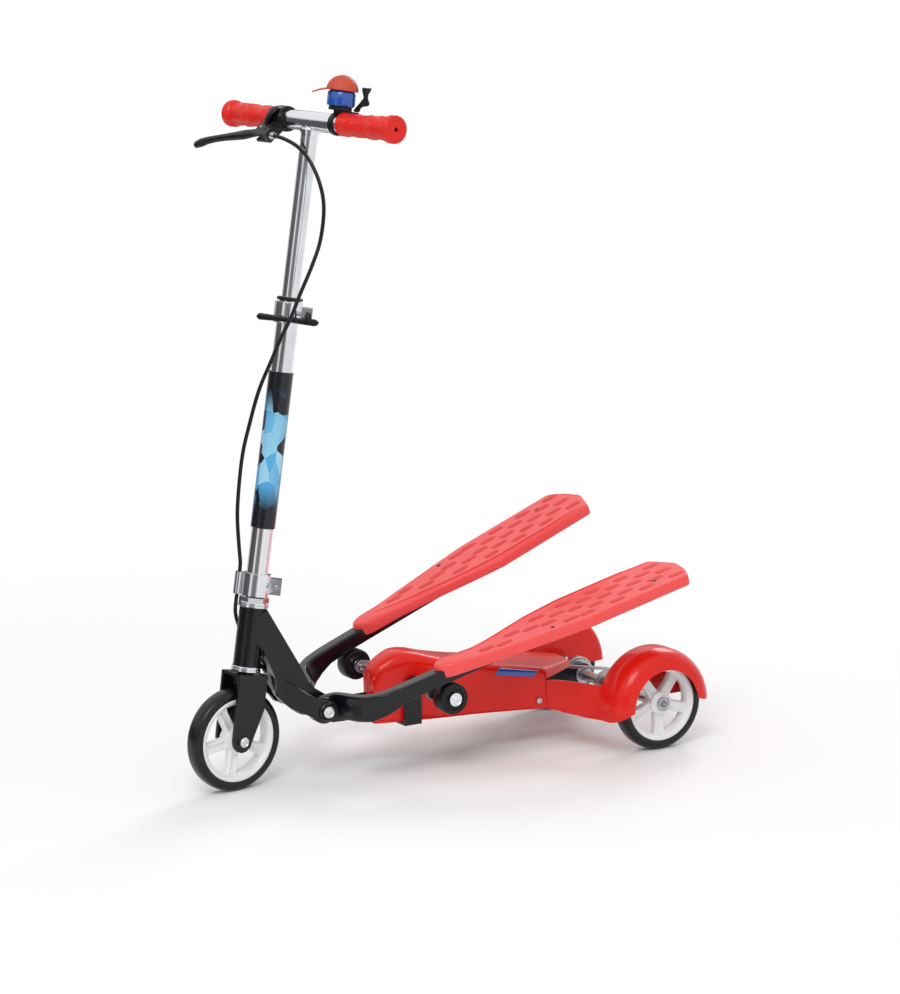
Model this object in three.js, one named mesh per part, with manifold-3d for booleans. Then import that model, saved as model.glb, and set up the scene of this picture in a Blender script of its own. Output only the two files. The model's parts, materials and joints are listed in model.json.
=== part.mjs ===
// Three wheel kids scooter with two stepping pedals.
// Millimetres. X points rearwards, Y to the rider's right, Z up.
import * as THREE from "three";
import { mergeVertices } from "three/addons/utils/BufferGeometryUtils.js";
import Module from "manifold-3d";

const wasm = await Module();
wasm.setup();

// Driving dimensions
const wheelbase = 573.7;
const frontWheelRadius = 68.4;
const rearWheelRadius = 64.3;
const rearWheelOuterFace = 145.4;
const wheelHalfWidth = 12.6;
const rakeAngle = (9.46 * Math.PI) / 180;
const restSteer = (9.3 * Math.PI) / 180;
const forkOffset = 6.2;
const crossbarStation = 806;
const crossbarLength = 348;
const crossbarRadius = 12.7;
const columnRadius = 14;
const slideTubeRadius = 11;
const pivotX = 116.5;
const pivotZ = 96.9;
const leftPedalAngle = (14.2 * Math.PI) / 180;
const rightPedalAngle = (21.9 * Math.PI) / 180;
const pedalCentreY = 105;
const crankX = 251;
const crankZ = 112;
const crankThrow = 17;
const crankAngle = (-15.7 * Math.PI) / 180;
const rollerRadius = 21;
const plateWall = 3;
const shellWall = 2.5;
const seatGap = 0.3;
const weldDepth = 1;
const overrun = 5;

// Facets round a full circle
const wheelFacets = 32;
const tubeFacets = 16;
const smallFacets = 12;
const cableFacets = 8;

// Finishes
function finish(color, roughness, metalness) {
  return new THREE.MeshStandardMaterial({ color, roughness, metalness });
}
const redGloss = finish(0xe12d1e, 0.25, 0);
const redDeck = finish(0xf5504b, 0.5, 0);
const redRubber = finish(0xee3024, 0.6, 0);
const blackPaint = finish(0x1b1b1f, 0.35, 0.3);
const blackPlastic = finish(0x202020, 0.5, 0);
const blackRubber = finish(0x141414, 0.75, 0);
const chrome = finish(0xd8dade, 0.12, 1);
const steel = finish(0xb8babd, 0.3, 1);
const whitePlastic = finish(0xf2f2f2, 0.45, 0);
const blueGloss = finish(0x1c5fc4, 0.25, 0.1);
const orangeCap = finish(0xcc5a44, 0.45, 0);
const sleevePaint = finish(0x17181c, 0.4, 0);

// A closed geometry as a solid, and back.
function solidOf(geometry) {
  const bare = geometry.clone();
  bare.deleteAttribute("normal");
  bare.deleteAttribute("uv");
  const merged = mergeVertices(bare, 1e-4);
  return new wasm.Manifold(
    new wasm.Mesh({
      numProp: 3,
      vertProperties: new Float32Array(merged.attributes.position.array),
      triVerts: new Uint32Array(merged.index.array),
    }),
  );
}
function geometryOf(solid) {
  const made = solid.getMesh();
  const geometry = new THREE.BufferGeometry();
  geometry.setAttribute("position", new THREE.BufferAttribute(made.vertProperties, 3));
  geometry.setIndex(new THREE.BufferAttribute(made.triVerts, 1));
  geometry.computeVertexNormals();
  return geometry;
}
function join(...geometries) {
  return geometryOf(geometries.map(solidOf).reduce((whole, piece) => whole.add(piece)));
}
function cut(geometry, ...tools) {
  return geometryOf(tools.map(solidOf).reduce((left, tool) => left.subtract(tool), solidOf(geometry)));
}
function common(geometry, other) {
  return geometryOf(solidOf(geometry).intersect(solidOf(other)));
}
function named(name, geometry, material) {
  const mesh = new THREE.Mesh(geometry, material);
  mesh.name = name;
  return mesh;
}

// Simple solids given by their limits along each axis
function block(xFrom, xTo, yFrom, yTo, zFrom, zTo) {
  const box = new THREE.BoxGeometry(xTo - xFrom, yTo - yFrom, zTo - zFrom);
  return box.translate((xFrom + xTo) / 2, (yFrom + yTo) / 2, (zFrom + zTo) / 2);
}
function rodY(radius, yFrom, yTo, x = 0, z = 0, facets = tubeFacets) {
  const rod = new THREE.CylinderGeometry(radius, radius, yTo - yFrom, facets);
  return rod.translate(x, (yFrom + yTo) / 2, z);
}
function rodZ(radius, zFrom, zTo, x = 0, y = 0, facets = tubeFacets) {
  const rod = new THREE.CylinderGeometry(radius, radius, zTo - zFrom, facets);
  return rod.rotateX(Math.PI / 2).translate(x, y, (zFrom + zTo) / 2);
}
function turnedY(profile, facets = tubeFacets) {
  const points = profile.map(([radius, y]) => new THREE.Vector2(radius, y));
  return new THREE.LatheGeometry(points, facets);
}
function ringY(inner, outer, yFrom, yTo, facets = tubeFacets) {
  const profile = [[inner, yFrom], [outer, yFrom], [outer, yTo], [inner, yTo], [inner, yFrom]];
  return turnedY(profile, facets);
}
function ringZ(inner, outer, zFrom, zTo, facets = tubeFacets) {
  return ringY(inner, outer, zFrom, zTo, facets).rotateX(Math.PI / 2);
}
// An outline in X and Z, spread along Y.
function sidePlate(outline, yFrom, yTo) {
  const shape = new THREE.Shape(outline.map(([x, z]) => new THREE.Vector2(x, z)));
  const plate = new THREE.ExtrudeGeometry(shape, { depth: yTo - yFrom, bevelEnabled: false });
  return plate.rotateX(Math.PI / 2).translate(0, yTo, 0);
}
// An outline in X and Y, spread along Z.
function planPlate(outline, zFrom, zTo) {
  const shape = new THREE.Shape(outline.map(([x, y]) => new THREE.Vector2(x, y)));
  const plate = new THREE.ExtrudeGeometry(shape, { depth: zTo - zFrom, bevelEnabled: false });
  return plate.translate(0, 0, zFrom);
}
// A place part of the way from one value to another.
function between(from, to, share) {
  return from + (to - from) * share;
}
// Points given as shares of two lengths, from a corner.
function spread(shares, startA, startB, lengthA, lengthB) {
  return shares.map(([a, b]) => [startA + a * lengthA, startB + b * lengthB]);
}
// Points of an arc about a centre, both angles included.
function arc(centreA, centreB, radius, from, to, steps) {
  const points = [];
  for (let i = 0; i <= steps; i += 1) {
    const angle = from + ((to - from) * i) / steps;
    points.push([centreA + radius * Math.cos(angle), centreB + radius * Math.sin(angle)]);
  }
  return points;
}
// The outline of a band of a given width along a path.
function band(path, width) {
  const near = [];
  const far = [];
  path.forEach(([a, b], i) => {
    const [beforeA, beforeB] = path[Math.max(i - 1, 0)];
    const [afterA, afterB] = path[Math.min(i + 1, path.length - 1)];
    const length = Math.hypot(afterA - beforeA, afterB - beforeB);
    const sideA = (-(afterB - beforeB) / length) * (width / 2);
    const sideB = ((afterA - beforeA) / length) * (width / 2);
    near.push([a - sideA, b - sideB]);
    far.unshift([a + sideA, b + sideB]);
  });
  return [...near, ...far];
}
// An outline drawn in by a distance, its points going round anticlockwise.
function inset(outline, distance) {
  const count = outline.length;
  return outline.map(([a, b], i) => {
    const [pa, pb] = outline[(i + count - 1) % count];
    const [na, nb] = outline[(i + 1) % count];
    const before = new THREE.Vector2(-(b - pb), a - pa).normalize();
    const after = new THREE.Vector2(-(nb - b), na - a).normalize();
    const mid = before.clone().add(after).normalize();
    const reach = distance / Math.max(mid.dot(before), 0.5);
    return [a + mid.x * reach, b + mid.y * reach];
  });
}
// The same solid on the other side of the middle plane.
function mirrored(geometry) {
  const turned = geometry.clone().scale(1, -1, 1);
  const order = Array.from(geometry.index.array);
  for (let i = 0; i < order.length; i += 3) {
    [order[i + 1], order[i + 2]] = [order[i + 2], order[i + 1]];
  }
  turned.setIndex(order);
  turned.computeVertexNormals();
  return turned;
}
function mirrorY(outline, side) {
  return side > 0 ? outline : outline.map(([a, b]) => [a, -b]).reverse();
}
// A span on one side of the middle plane, as its lower and upper limit.
function span(side, from, to) {
  return side > 0 ? [from, to] : [-to, -from];
}
// A surface through rings of equal point counts, closed by flat ends.
function loft(rings) {
  const positions = [];
  const indices = [];
  const count = rings[0].length;
  rings.forEach((ring) => ring.forEach((point) => positions.push(...point)));
  for (let r = 0; r + 1 < rings.length; r += 1) {
    for (let i = 0; i < count; i += 1) {
      const a = r * count + i;
      const b = r * count + ((i + 1) % count);
      indices.push(a, a + count, b, b, a + count, b + count);
    }
  }
  const last = (rings.length - 1) * count;
  for (let i = 1; i + 1 < count; i += 1) {
    indices.push(0, i, i + 1, last, last + i + 1, last + i);
  }
  const geometry = new THREE.BufferGeometry();
  geometry.setAttribute("position", new THREE.Float32BufferAttribute(positions, 3));
  geometry.setIndex(indices);
  return geometry;
}
// A round cord through points, its ends square to its first and last steps.
function cord(points, radius, steps) {
  const route = new THREE.CatmullRomCurve3(points.map((p) => new THREE.Vector3(...p)));
  const section = new THREE.Shape();
  section.absarc(0, 0, radius, 0, 2 * Math.PI);
  return new THREE.ExtrudeGeometry(section, { steps, extrudePath: route, curveSegments: cableFacets / 2 });
}

// Where the steering axis lies
const crownHalfShare = 0.3;
const crownHalf = wheelHalfWidth * crownHalfShare;
const camber = Math.asin(Math.sin(rakeAngle) * Math.sin(restSteer));
const frontAxleZ = frontWheelRadius * Math.cos(camber) + crownHalf * Math.sin(camber);
const axisFootX = forkOffset * Math.cos(rakeAngle);
const axisFootZ = frontAxleZ - forkOffset * Math.sin(rakeAngle);
function alongColumn(geometry) {
  return geometry.rotateY(rakeAngle).translate(axisFootX, 0, axisFootZ);
}

// Wheels, each turned about Y
const tyreWall = 12.7;
const tyreBeadInset = 1.4;
const tyreShoulder = 6;
const rimDepth = 8;
const hubRadius = 16;
const hubHalfWidth = 13.6;
const spokeCount = 5;
const spokeHalfThickness = 6.5;
const spokeHubHalf = 6.5;
const spokeRimHalf = 9.5;
const axleRadius = 4;
const shoulderShare = 0.75;
function tyre(radius) {
  const seat = radius - tyreWall;
  const side = wheelHalfWidth;
  const half = [
    [seat, side - tyreBeadInset],
    [radius - tyreShoulder, side],
    [radius - tyreShoulder * crownHalfShare, side * shoulderShare],
    [radius, crownHalf],
  ];
  const lower = half.map(([r, y]) => [r, -y]);
  return turnedY([...lower, ...half.reverse(), lower[0]], wheelFacets);
}
function rim(radius, bore) {
  const outer = radius - tyreWall - seatGap;
  const inner = outer - rimDepth;
  const half = wheelHalfWidth - tyreBeadInset;
  const ring = ringY(inner, outer, -half, half, wheelFacets);
  const pieces = [ring, rodY(hubRadius, -hubHalfWidth, hubHalfWidth)];
  const hubEdge = hubRadius - rimDepth / 2;
  const rimEdge = inner + rimDepth / 2;
  const outline = [
    [hubEdge, -spokeHubHalf],
    [rimEdge, -spokeRimHalf],
    [rimEdge, spokeRimHalf],
    [hubEdge, spokeHubHalf],
  ];
  for (let i = 0; i < spokeCount; i += 1) {
    const spoke = sidePlate(outline, -spokeHalfThickness, spokeHalfThickness);
    pieces.push(spoke.rotateY((2 * Math.PI * i) / spokeCount + Math.PI / 2));
  }
  const reach = hubHalfWidth + overrun;
  return cut(join(...pieces), rodY(bore, -reach, reach, 0, 0, smallFacets));
}

// Fork: a folded crown with two legs and the steerer
const forkHalfWidth = 21;
const forkWall = 4;
const forkTop = 88;
const forkFront = 23;
const forkRear = 22;
const forkRearFall = 42;
const forkEndRadius = 15;
const steererTop = 235;
const steererStep = 3;
const steererRadius = columnRadius - steererStep;
function fork() {
  const end = arc(-forkOffset, 0, forkEndRadius, Math.PI, 2 * Math.PI, smallFacets / 2);
  const outline = [[-forkFront, forkTop], ...end, [forkRear, forkRearFall], [forkRear, forkTop]];
  const legs = [-1, 1].map((side) => {
    return sidePlate(outline, ...span(side, forkHalfWidth - forkWall, forkHalfWidth));
  });
  const crown = block(-forkFront, forkRear, -forkHalfWidth, forkHalfWidth, forkTop - forkWall, forkTop);
  const steerer = rodZ(steererRadius, forkTop - forkWall, steererTop);
  const boltReach = forkHalfWidth + overrun;
  const bore = rodY(axleRadius + seatGap, -boltReach, boltReach, -forkOffset, 0, smallFacets);
  return cut(join(crown, steerer, ...legs), bore);
}
function axleBolt(reach, radius, headRadius, headHeight) {
  const pieces = [rodY(radius, -reach, reach, 0, 0, smallFacets)];
  [-1, 1].forEach((side) => {
    const limits = span(side, reach - seatGap, reach + headHeight);
    pieces.push(rodY(headRadius, ...limits, 0, 0, smallFacets));
  });
  return join(...pieces);
}
const frontBoltHeadRadius = 6.5;
const frontBoltHeadHeight = 3.5;

// Head tube and headset
const headTubeRadius = 17.75;
const headTubeBore = 15;
const headBoreRoom = 15;
const headTubeLow = 97.5;
const headTubeHigh = 174.6;
const lowerCupRadius = 19.5;
const upperCupRadius = 20.2;
const lowerCupHeight = 7;
const upperCupHeight = 6.5;
const headNutRadius = 19.8;
const headNutHeight = 6.5;
function cup(from, to, outer) {
  return ringZ(steererRadius + seatGap, outer, from, to);
}
const nutSides = 6;
function hexNut(bore, radius, from, to) {
  return cut(rodZ(radius, from, to, 0, 0, nutSides), rodZ(bore, from - overrun, to + overrun));
}

// Column: lower clamp, tube, sleeve and quick release
const lowerClampLow = 190;
const lowerClampHigh = 219;
const clampRadius = 18.5;
const lugAngle = (145 * Math.PI) / 180;
const lugDistance = 23;
const lugRadius = 5.5;
const earAngle = (-36 * Math.PI) / 180;
const earReach = 33;
const earHalfWidth = 8;
const earInset = 4;
const slitWidth = 2.4;
const cableRadius = 2.5;
const columnLow = 191;
const columnHigh = 575;
const sleeveLow = 279;
const sleeveHigh = 483;
const sleeveWall = 2;
const quickLow = 546;
const quickHigh = 573;
const quickReach = 31;
const clampBoltRadius = 3;
const clampBoltHead = 5.5;
const clampBoltEnd = 4;
const clampBoltShare = 0.57;
function splitClamp(low, high, reach, angle) {
  const ring = ringZ(columnRadius + seatGap, clampRadius, low, high);
  const inner = columnRadius + seatGap + weldDepth;
  const ear = block(inner, reach, -earHalfWidth, earHalfWidth, low + earInset, high - earInset);
  const slit = block(0, reach + overrun, -slitWidth / 2, slitWidth / 2, low - overrun, high + overrun);
  const mid = (low + high) / 2;
  const holeRadius = clampBoltRadius + seatGap;
  const hole = rodY(holeRadius, -clampRadius, clampRadius, clampBoltX(reach), mid, smallFacets);
  return cut(join(ring, ear), slit, hole).rotateZ(angle);
}
function clampBoltX(reach) {
  return between(clampRadius, reach, clampBoltShare);
}
function clampBolt(low, high, reach, angle, length) {
  const x = clampBoltX(reach);
  const z = (low + high) / 2;
  const shank = rodY(clampBoltRadius, -length, earHalfWidth + clampBoltEnd, x, z, smallFacets);
  const head = rodY(clampBoltHead, earHalfWidth + seatGap, earHalfWidth + clampBoltEnd, x, z, smallFacets);
  return join(shank, head).rotateZ(angle);
}
function lowerClamp() {
  const clamp = splitClamp(lowerClampLow, lowerClampHigh, earReach, earAngle);
  const x = lugDistance * Math.cos(lugAngle);
  const y = lugDistance * Math.sin(lugAngle);
  const lug = rodZ(lugRadius, lowerClampLow, lowerClampHigh, x, y, smallFacets);
  const holeLimits = [lowerClampLow - overrun, lowerClampHigh + overrun];
  const hole = rodZ(cableRadius + seatGap, ...holeLimits, x, y, smallFacets);
  const room = rodZ(columnRadius + seatGap + weldDepth, lowerClampLow, lowerClampHigh);
  return cut(join(clamp, cut(lug, room)), hole);
}
const leverHalfLength = 40;
const leverThickness = 6;
const leverHeight = 8;
const leverStandOff = 2;
const leverLow = 547.5;
const leverPinX = clampBoltX(quickReach);
const quickBoltReach = clampRadius + leverStandOff - seatGap;
function quickLever() {
  const y = -clampRadius - leverStandOff;
  const high = leverLow + leverHeight;
  const bar = block(-leverHalfLength, leverHalfLength, y - leverThickness, y, leverLow, high);
  const boss = rodZ(leverThickness / 2, leverLow, high + leverHeight, leverPinX, y - leverThickness / 2);
  return join(bar, boss);
}
const capHeight = 4.5;
const capRadius = 17;

// Handlebar
const tubeWall = 1.5;
const slideTubeLow = 430;
function handlebar() {
  const half = crossbarLength / 2;
  const bar = rodY(crossbarRadius, -half, half, 0, crossbarStation);
  const stem = rodZ(slideTubeRadius, slideTubeLow, crossbarStation);
  const barBore = rodY(crossbarRadius - tubeWall, -half - overrun, half + overrun, 0, crossbarStation);
  const stemBore = rodZ(slideTubeRadius - tubeWall, slideTubeLow - overrun, crossbarStation);
  return cut(join(bar, stem), barBore, stemBore);
}
const gripStart = 70;
const gripRadius = 14.6;
const gripWaist = 13.9;
const flangeRadius = 17.7;
const flangeWidth = 11;
const gripEndWall = 3.2;
const gripHole = 3;
const gripBandShare = 0.33;
const gripSwell = 1;
const flangeEdge = 2;
const flangeThroatShare = 1.6;
const flangeLipShare = 0.25;
function grip(side) {
  const end = crossbarLength / 2 + seatGap + gripEndWall;
  const length = end - gripStart;
  const bore = crossbarRadius + seatGap;
  const profile = [
    [bore, gripStart],
    [gripRadius, gripStart],
    [gripRadius + gripSwell, gripStart + flangeWidth],
    [gripWaist, gripStart + length * gripBandShare],
    [gripRadius, gripStart + length * 2 * gripBandShare],
    [gripRadius, end - flangeWidth * flangeThroatShare],
    [flangeRadius, end - flangeWidth],
    [flangeRadius, end - flangeWidth * flangeLipShare],
    [flangeRadius - flangeEdge, end],
    [gripHole, end],
    [gripHole, end - gripEndWall],
    [bore, end - gripEndWall],
    [bore, gripStart],
  ];
  const made = turnedY(profile);
  return side > 0 ? made : made.rotateZ(Math.PI);
}

// Brake lever set, in a frame whose X runs from the crossbar towards the lever
const brakeDrop = (45 * Math.PI) / 180;
const bracketStart = 50;
const bracketRingEnd = 69.6;
const bracketEnd = 80;
const bracketReach = 40;
const bracketHalf = 7.5;
const bracketWall = 4;
const leverPivotReach = 28;
const leverPivotY = 72;
const leverRoot = 6;
const leverBladeWidth = 9.5;
const leverSlotHalf = 4;
const brakePinRadius = 2;
const leverSwing = 1.2;
const leverPinStub = 1;
const bladeReach = 41;
const bladeLength = 112;
const bladeShares = [[0, 0], [0.12, 0.145], [0.27, 0.32], [0.365, 0.5], [0.51, 0.68], [0.71, 0.84], [1, 1]];
const adjusterReach = 34;
const adjusterRadius = 4;
const adjusterEnd = 41;
const adjusterNutRadius = 5.5;
const adjusterNutWidth = 4;
function brakeBracket() {
  const ring = ringY(crossbarRadius + seatGap, crossbarRadius + bracketWall, bracketStart, bracketRingEnd);
  const inner = crossbarRadius + weldDepth;
  const root = block(inner, bracketReach, bracketStart, bracketRingEnd, -bracketHalf, bracketHalf);
  const earsFrom = bracketRingEnd - weldDepth;
  const ears = block(flangeRadius, bracketReach, earsFrom, bracketEnd, -bracketHalf, bracketHalf);
  const slotStart = leverPivotY - leverRoot - leverSwing;
  const slotLimits = [slotStart, bracketEnd + overrun, -leverSlotHalf, leverSlotHalf];
  const slot = block(inner + bracketWall, bracketReach + overrun, ...slotLimits);
  return cut(join(ring, root, ears), slot, leverPin(brakePinRadius + seatGap, bracketReach));
}
function leverPin(radius, half) {
  return rodZ(radius, -half, half, leverPivotReach, leverPivotY, smallFacets);
}
function brakeLever() {
  const half = leverSlotHalf - seatGap;
  const path = spread(bladeShares, leverPivotReach, leverPivotY, bladeReach, bladeLength);
  const blade = planPlate(band(path, leverBladeWidth), -half, half);
  const root = rodZ(leverRoot, -half, half, leverPivotReach, leverPivotY);
  return cut(join(blade, root), leverPin(brakePinRadius + seatGap, bracketReach));
}
function brakePin() {
  return leverPin(brakePinRadius, bracketHalf + leverPinStub);
}
function cableAdjuster() {
  const start = bracketStart - seatGap;
  const barrel = rodY(adjusterRadius, adjusterEnd, start, adjusterReach, 0, smallFacets);
  const nut = rodY(adjusterNutRadius, start - adjusterNutWidth, start, adjusterReach, 0, nutSides);
  return join(barrel, nut);
}

// Bell, in a frame whose Z is the bell's own axis
const bellY = -58;
const bellRingHalf = 4;
const bellRingWall = 2.4;
const bellSeat = 21;
const bellEarThick = 2.2;
const bellBaseRadius = 15;
const bellBaseHeight = 4.5;
const bellDrumRadius = 18;
const bellDrumHeight = 20;
const bellCapRadius = 20.5;
const bellCapHeight = 20;
const bellBrimReach = 38;
const bellBrimHeight = 2;
const bellBrimHalf = 17;
const bellLeverPivot = 20;
const bellLeverReach = 31;
const bellLeverThick = 4;
const bellLeverHalf = 7;
const bellLeverHeight = 24;
const bellPost = 8;
const bellLeverGap = 1.2;
const bellLow = bellSeat - bellLeverThick;
const bellEdgeShare = 1 / 6;
function bellClamp() {
  const ring = ringY(crossbarRadius + seatGap, crossbarRadius + bellRingWall, -bellRingHalf, bellRingHalf);
  const post = rodZ(bellPost, crossbarRadius + weldDepth, bellSeat);
  const base = rodZ(bellBaseRadius, bellLow, bellLow + bellBaseHeight);
  const earEnd = bellLeverPivot + bellLeverThick;
  const ear = block(0, earEnd, -bellLeverThick, bellLeverThick, bellLow - bellEarThick, bellLow);
  return join(ring, post, base, ear.rotateZ(earAngle));
}
const bellDrumLow = bellLow + bellBaseHeight + seatGap;
function bellDrum() {
  const edge = bellDrumRadius * bellEdgeShare;
  const top = bellDrumLow + bellDrumHeight;
  const profile = [
    [0, bellDrumLow],
    [bellDrumRadius - edge, bellDrumLow],
    [bellDrumRadius, bellDrumLow + edge],
    [bellDrumRadius, top - edge],
    [bellDrumRadius - edge, top],
    [0, top],
  ];
  return turnedY(profile).rotateX(Math.PI / 2);
}
function bellCap() {
  const low = bellDrumLow + bellDrumHeight + seatGap;
  const rise = Math.PI / 2;
  const dome = spread(arc(0, 0, 1, 0, rise, smallFacets / 2), 0, low, bellCapRadius, bellCapHeight);
  const cap = turnedY([[0, low], ...dome.slice(0, -1), [0, low + bellCapHeight]]).rotateX(Math.PI / 2);
  const brimArc = spread(arc(0, 0, 1, -rise, rise, smallFacets), 0, 0, bellBrimReach, bellBrimHalf);
  const brimOutline = [[-overrun, bellBrimHalf], [-overrun, -bellBrimHalf], ...brimArc];
  const brim = planPlate(brimOutline, low, low + bellBrimHeight);
  return join(cap, brim.rotateZ(earAngle + Math.PI));
}
function bellLever() {
  const low = bellLow + seatGap;
  const inner = bellBaseRadius + bellLeverGap;
  const arm = block(inner, bellLeverReach, -bellLeverThick, bellLeverThick, low, low + bellLeverThick);
  const tabInner = bellLeverReach - bellLeverThick;
  const tab = block(tabInner, bellLeverReach, -bellLeverHalf, bellLeverHalf, low, low + bellLeverHeight);
  return join(arm, tab).rotateZ(earAngle);
}

// Main frame
const downHalfWidth = 18;
const beamHalfWidth = 12;
const beamLow = 70;
const beamHigh = 100;
const beamStart = 100;
const beamEndFromAxle = 151.7;
const beamEnd = wheelbase - beamEndFromAxle;
const lugInner = 40;
const lugOuter = 44.5;
const pivotLugRadius = 13.5;
const pivotBoltRadius = 5;
const crossWidth = 14;
const crossFrom = beamEnd - crossWidth;
const crossHigh = 82;
const crossHalf = 60;
const rearPlateDrop = 6;
const rearPlateHalf = 12.5;
const rearPlateLowShares = [[0, 0], [0.375, 0.66], [0.68, 1], [1, 1]];
const rearPlateHighShares = [[1, 1], [0.19, 0.8], [0.085, 0], [0, 0]];
const rearBearingRadius = 13;
const crankPlateAhead = 15;
const crankPlateBehind = 11;
const crankPlateFrom = crankX - crankPlateAhead;
const crankPlateTo = crankX + crankPlateBehind;
const crankPlateInner = 32;
const crankPlateOuter = 35;
const crankPlateFoot = 58;
const crankBearingRadius = 9.5;
const crankShaftRadius = 6;
const rearAxleRadius = 7.5;
// Down tube outlines, as shares of the pivot's X and of the height above it
const downHeight = 141;
const downShares = [
  [0.257, 0.915], [0.395, 1], [0.773, 0.447], [0.91, 0.22], [1.116, 0.107], [1.15, -0.091],
  [1.03, -0.148], [0.858, -0.091], [0.712, 0.022], [0.549, 0.192], [0.335, 0.618], [0.24, 0.703],
];
const channelShares = [
  [0.172, 0.618], [0.172, 1.156], [0.6, 1.156], [1.288, 0.235], [1.288, -0.262], [1.013, -0.262],
  [1.013, -0.123], [0.884, -0.07], [0.747, 0.036], [0.584, 0.206], [0.369, 0.618],
];
const webFront = 74;
const lugLowShare = 0.7;
const lugMidShare = 0.95;
const lugHighShare = 1.4;
const pivotBossRadius = 8;
function rearPlateOutline() {
  const low = rearWheelRadius - rearPlateHalf;
  const high = rearWheelRadius + rearPlateHalf;
  const foot = beamLow - rearPlateDrop;
  const below = spread(rearPlateLowShares, crossFrom, foot, wheelbase - crossFrom, low - foot);
  const above = spread(rearPlateHighShares, crossFrom, crossHigh, wheelbase - crossFrom, high - crossHigh);
  return [...below, ...above];
}
// What stands on both sides: pivot lugs with their webs, crank plates and rear plates
function sideFrame(side) {
  const lugLimits = span(side, lugInner, lugOuter);
  const lug = rodY(pivotLugRadius, ...lugLimits, pivotX, pivotZ);
  const low = pivotZ - pivotLugRadius * lugLowShare;
  const high = pivotZ + pivotLugRadius * lugHighShare;
  const mid = pivotZ + pivotLugRadius * lugMidShare;
  const front = low + pivotLugRadius;
  const webBack = webFront + plateWall * 2;
  const neck = sidePlate([[webFront, front], [pivotX, low], [pivotX, mid], [webFront, high]], ...lugLimits);
  const webOutline = [[webFront, front], [webBack, front - plateWall], [webBack, high], [webFront, high]];
  const web = sidePlate(webOutline, ...span(side, downHalfWidth - plateWall, lugOuter));
  const crankLimits = span(side, crankPlateInner, crankPlateOuter);
  const crankPlate = block(crankPlateFrom, crankPlateTo, ...crankLimits, crankPlateFoot, crankZ);
  const crankEye = rodY(crankBearingRadius + plateWall, ...crankLimits, crankX, crankZ);
  const rearLimits = span(side, crossHalf - plateWall, crossHalf);
  const rearPlate = sidePlate(rearPlateOutline(), ...rearLimits);
  const rearEye = rodY(rearBearingRadius + plateWall, ...rearLimits, wheelbase, rearWheelRadius);
  return [lug, neck, web, crankPlate, crankEye, rearPlate, rearEye];
}
function beamPieces() {
  const inside = beamHalfWidth - plateWall;
  const beam = block(beamStart, beamEnd, -beamHalfWidth, beamHalfWidth, beamLow, beamHigh);
  const floor = beamLow + plateWall;
  const hollow = block(beamStart - overrun, crossFrom, -inside, inside, floor, beamHigh + overrun);
  const slotStart = crankPlateFrom - rollerRadius * 2;
  const chainSlot = block(slotStart, crossFrom, -inside, inside, beamLow - overrun, beamHigh);
  const postTop = beamLow + weldDepth;
  const post = block(crankPlateFrom, crankPlateTo, -beamHalfWidth, beamHalfWidth, crankPlateFoot, postTop);
  const postRoom = [crankPlateFrom - overrun, crankPlateTo + overrun, -inside, inside];
  const postHollow = block(...postRoom, crankPlateFoot + plateWall, beamLow + overrun);
  const footLimits = [-crankPlateOuter, crankPlateOuter, crankPlateFoot, crankPlateFoot + plateWall];
  const foot = block(crankPlateFrom, crankPlateTo, ...footLimits);
  const cross = block(crossFrom, beamEnd, -crossHalf, crossHalf, beamLow, crossHigh);
  return [cut(beam, hollow, chainSlot), cut(post, postHollow), foot, cross];
}
function mainFrame() {
  const outer = sidePlate(spread(downShares, 0, pivotZ, pivotX, downHeight), -downHalfWidth, downHalfWidth);
  const channelHalf = downHalfWidth - plateWall;
  const inside = sidePlate(spread(channelShares, 0, pivotZ, pivotX, downHeight), -channelHalf, channelHalf);
  const headTube = alongColumn(rodZ(headTubeRadius, headTubeLow, headTubeHigh));
  const headBore = alongColumn(rodZ(headTubeBore, headTubeLow - overrun, headTubeHigh + headBoreRoom));
  const boss = rodY(pivotBossRadius, -downHalfWidth, downHalfWidth, pivotX, pivotZ);
  const both = [...sideFrame(-1), ...sideFrame(1)];
  const body = join(cut(outer, inside), headTube, boss, ...beamPieces(), ...both);
  const reach = lugOuter + overrun;
  const pivotHole = rodY(pivotBoltRadius + seatGap, -reach, reach, pivotX, pivotZ, smallFacets);
  const crankHole = rodY(crankBearingRadius + seatGap, -reach, reach, crankX, crankZ);
  const axleReach = crossHalf + overrun;
  const axleHole = rodY(rearBearingRadius + seatGap, -axleReach, axleReach, wheelbase, rearWheelRadius);
  const cableHole = cord(frameCable.slice(0, cableEntryPoints), cableRadius + 2 * seatGap, smallFacets);
  return cut(body, headBore, pivotHole, crankHole, axleHole, cableHole, chain(chainRoom));
}
const pivotHeadRadius = 7.5;
const pivotHeadHeight = 4;

// Chain drive sizes, and the height of the chain's upper run
const chainWheelRadius = 28;
const chainWheelHalf = 1.5;
const sprocketRadius = 17;
const chainHalf = 3;
const chainThickness = 4;
const chainReach = chainThickness + 2 * seatGap;
const chainRoom = 1;
function chainTopAt(x) {
  const front = crankZ + chainWheelRadius + chainReach;
  const rear = rearWheelRadius + sprocketRadius + chainReach;
  return between(front, rear, (x - crankX) / (wheelbase - crankX));
}

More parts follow.
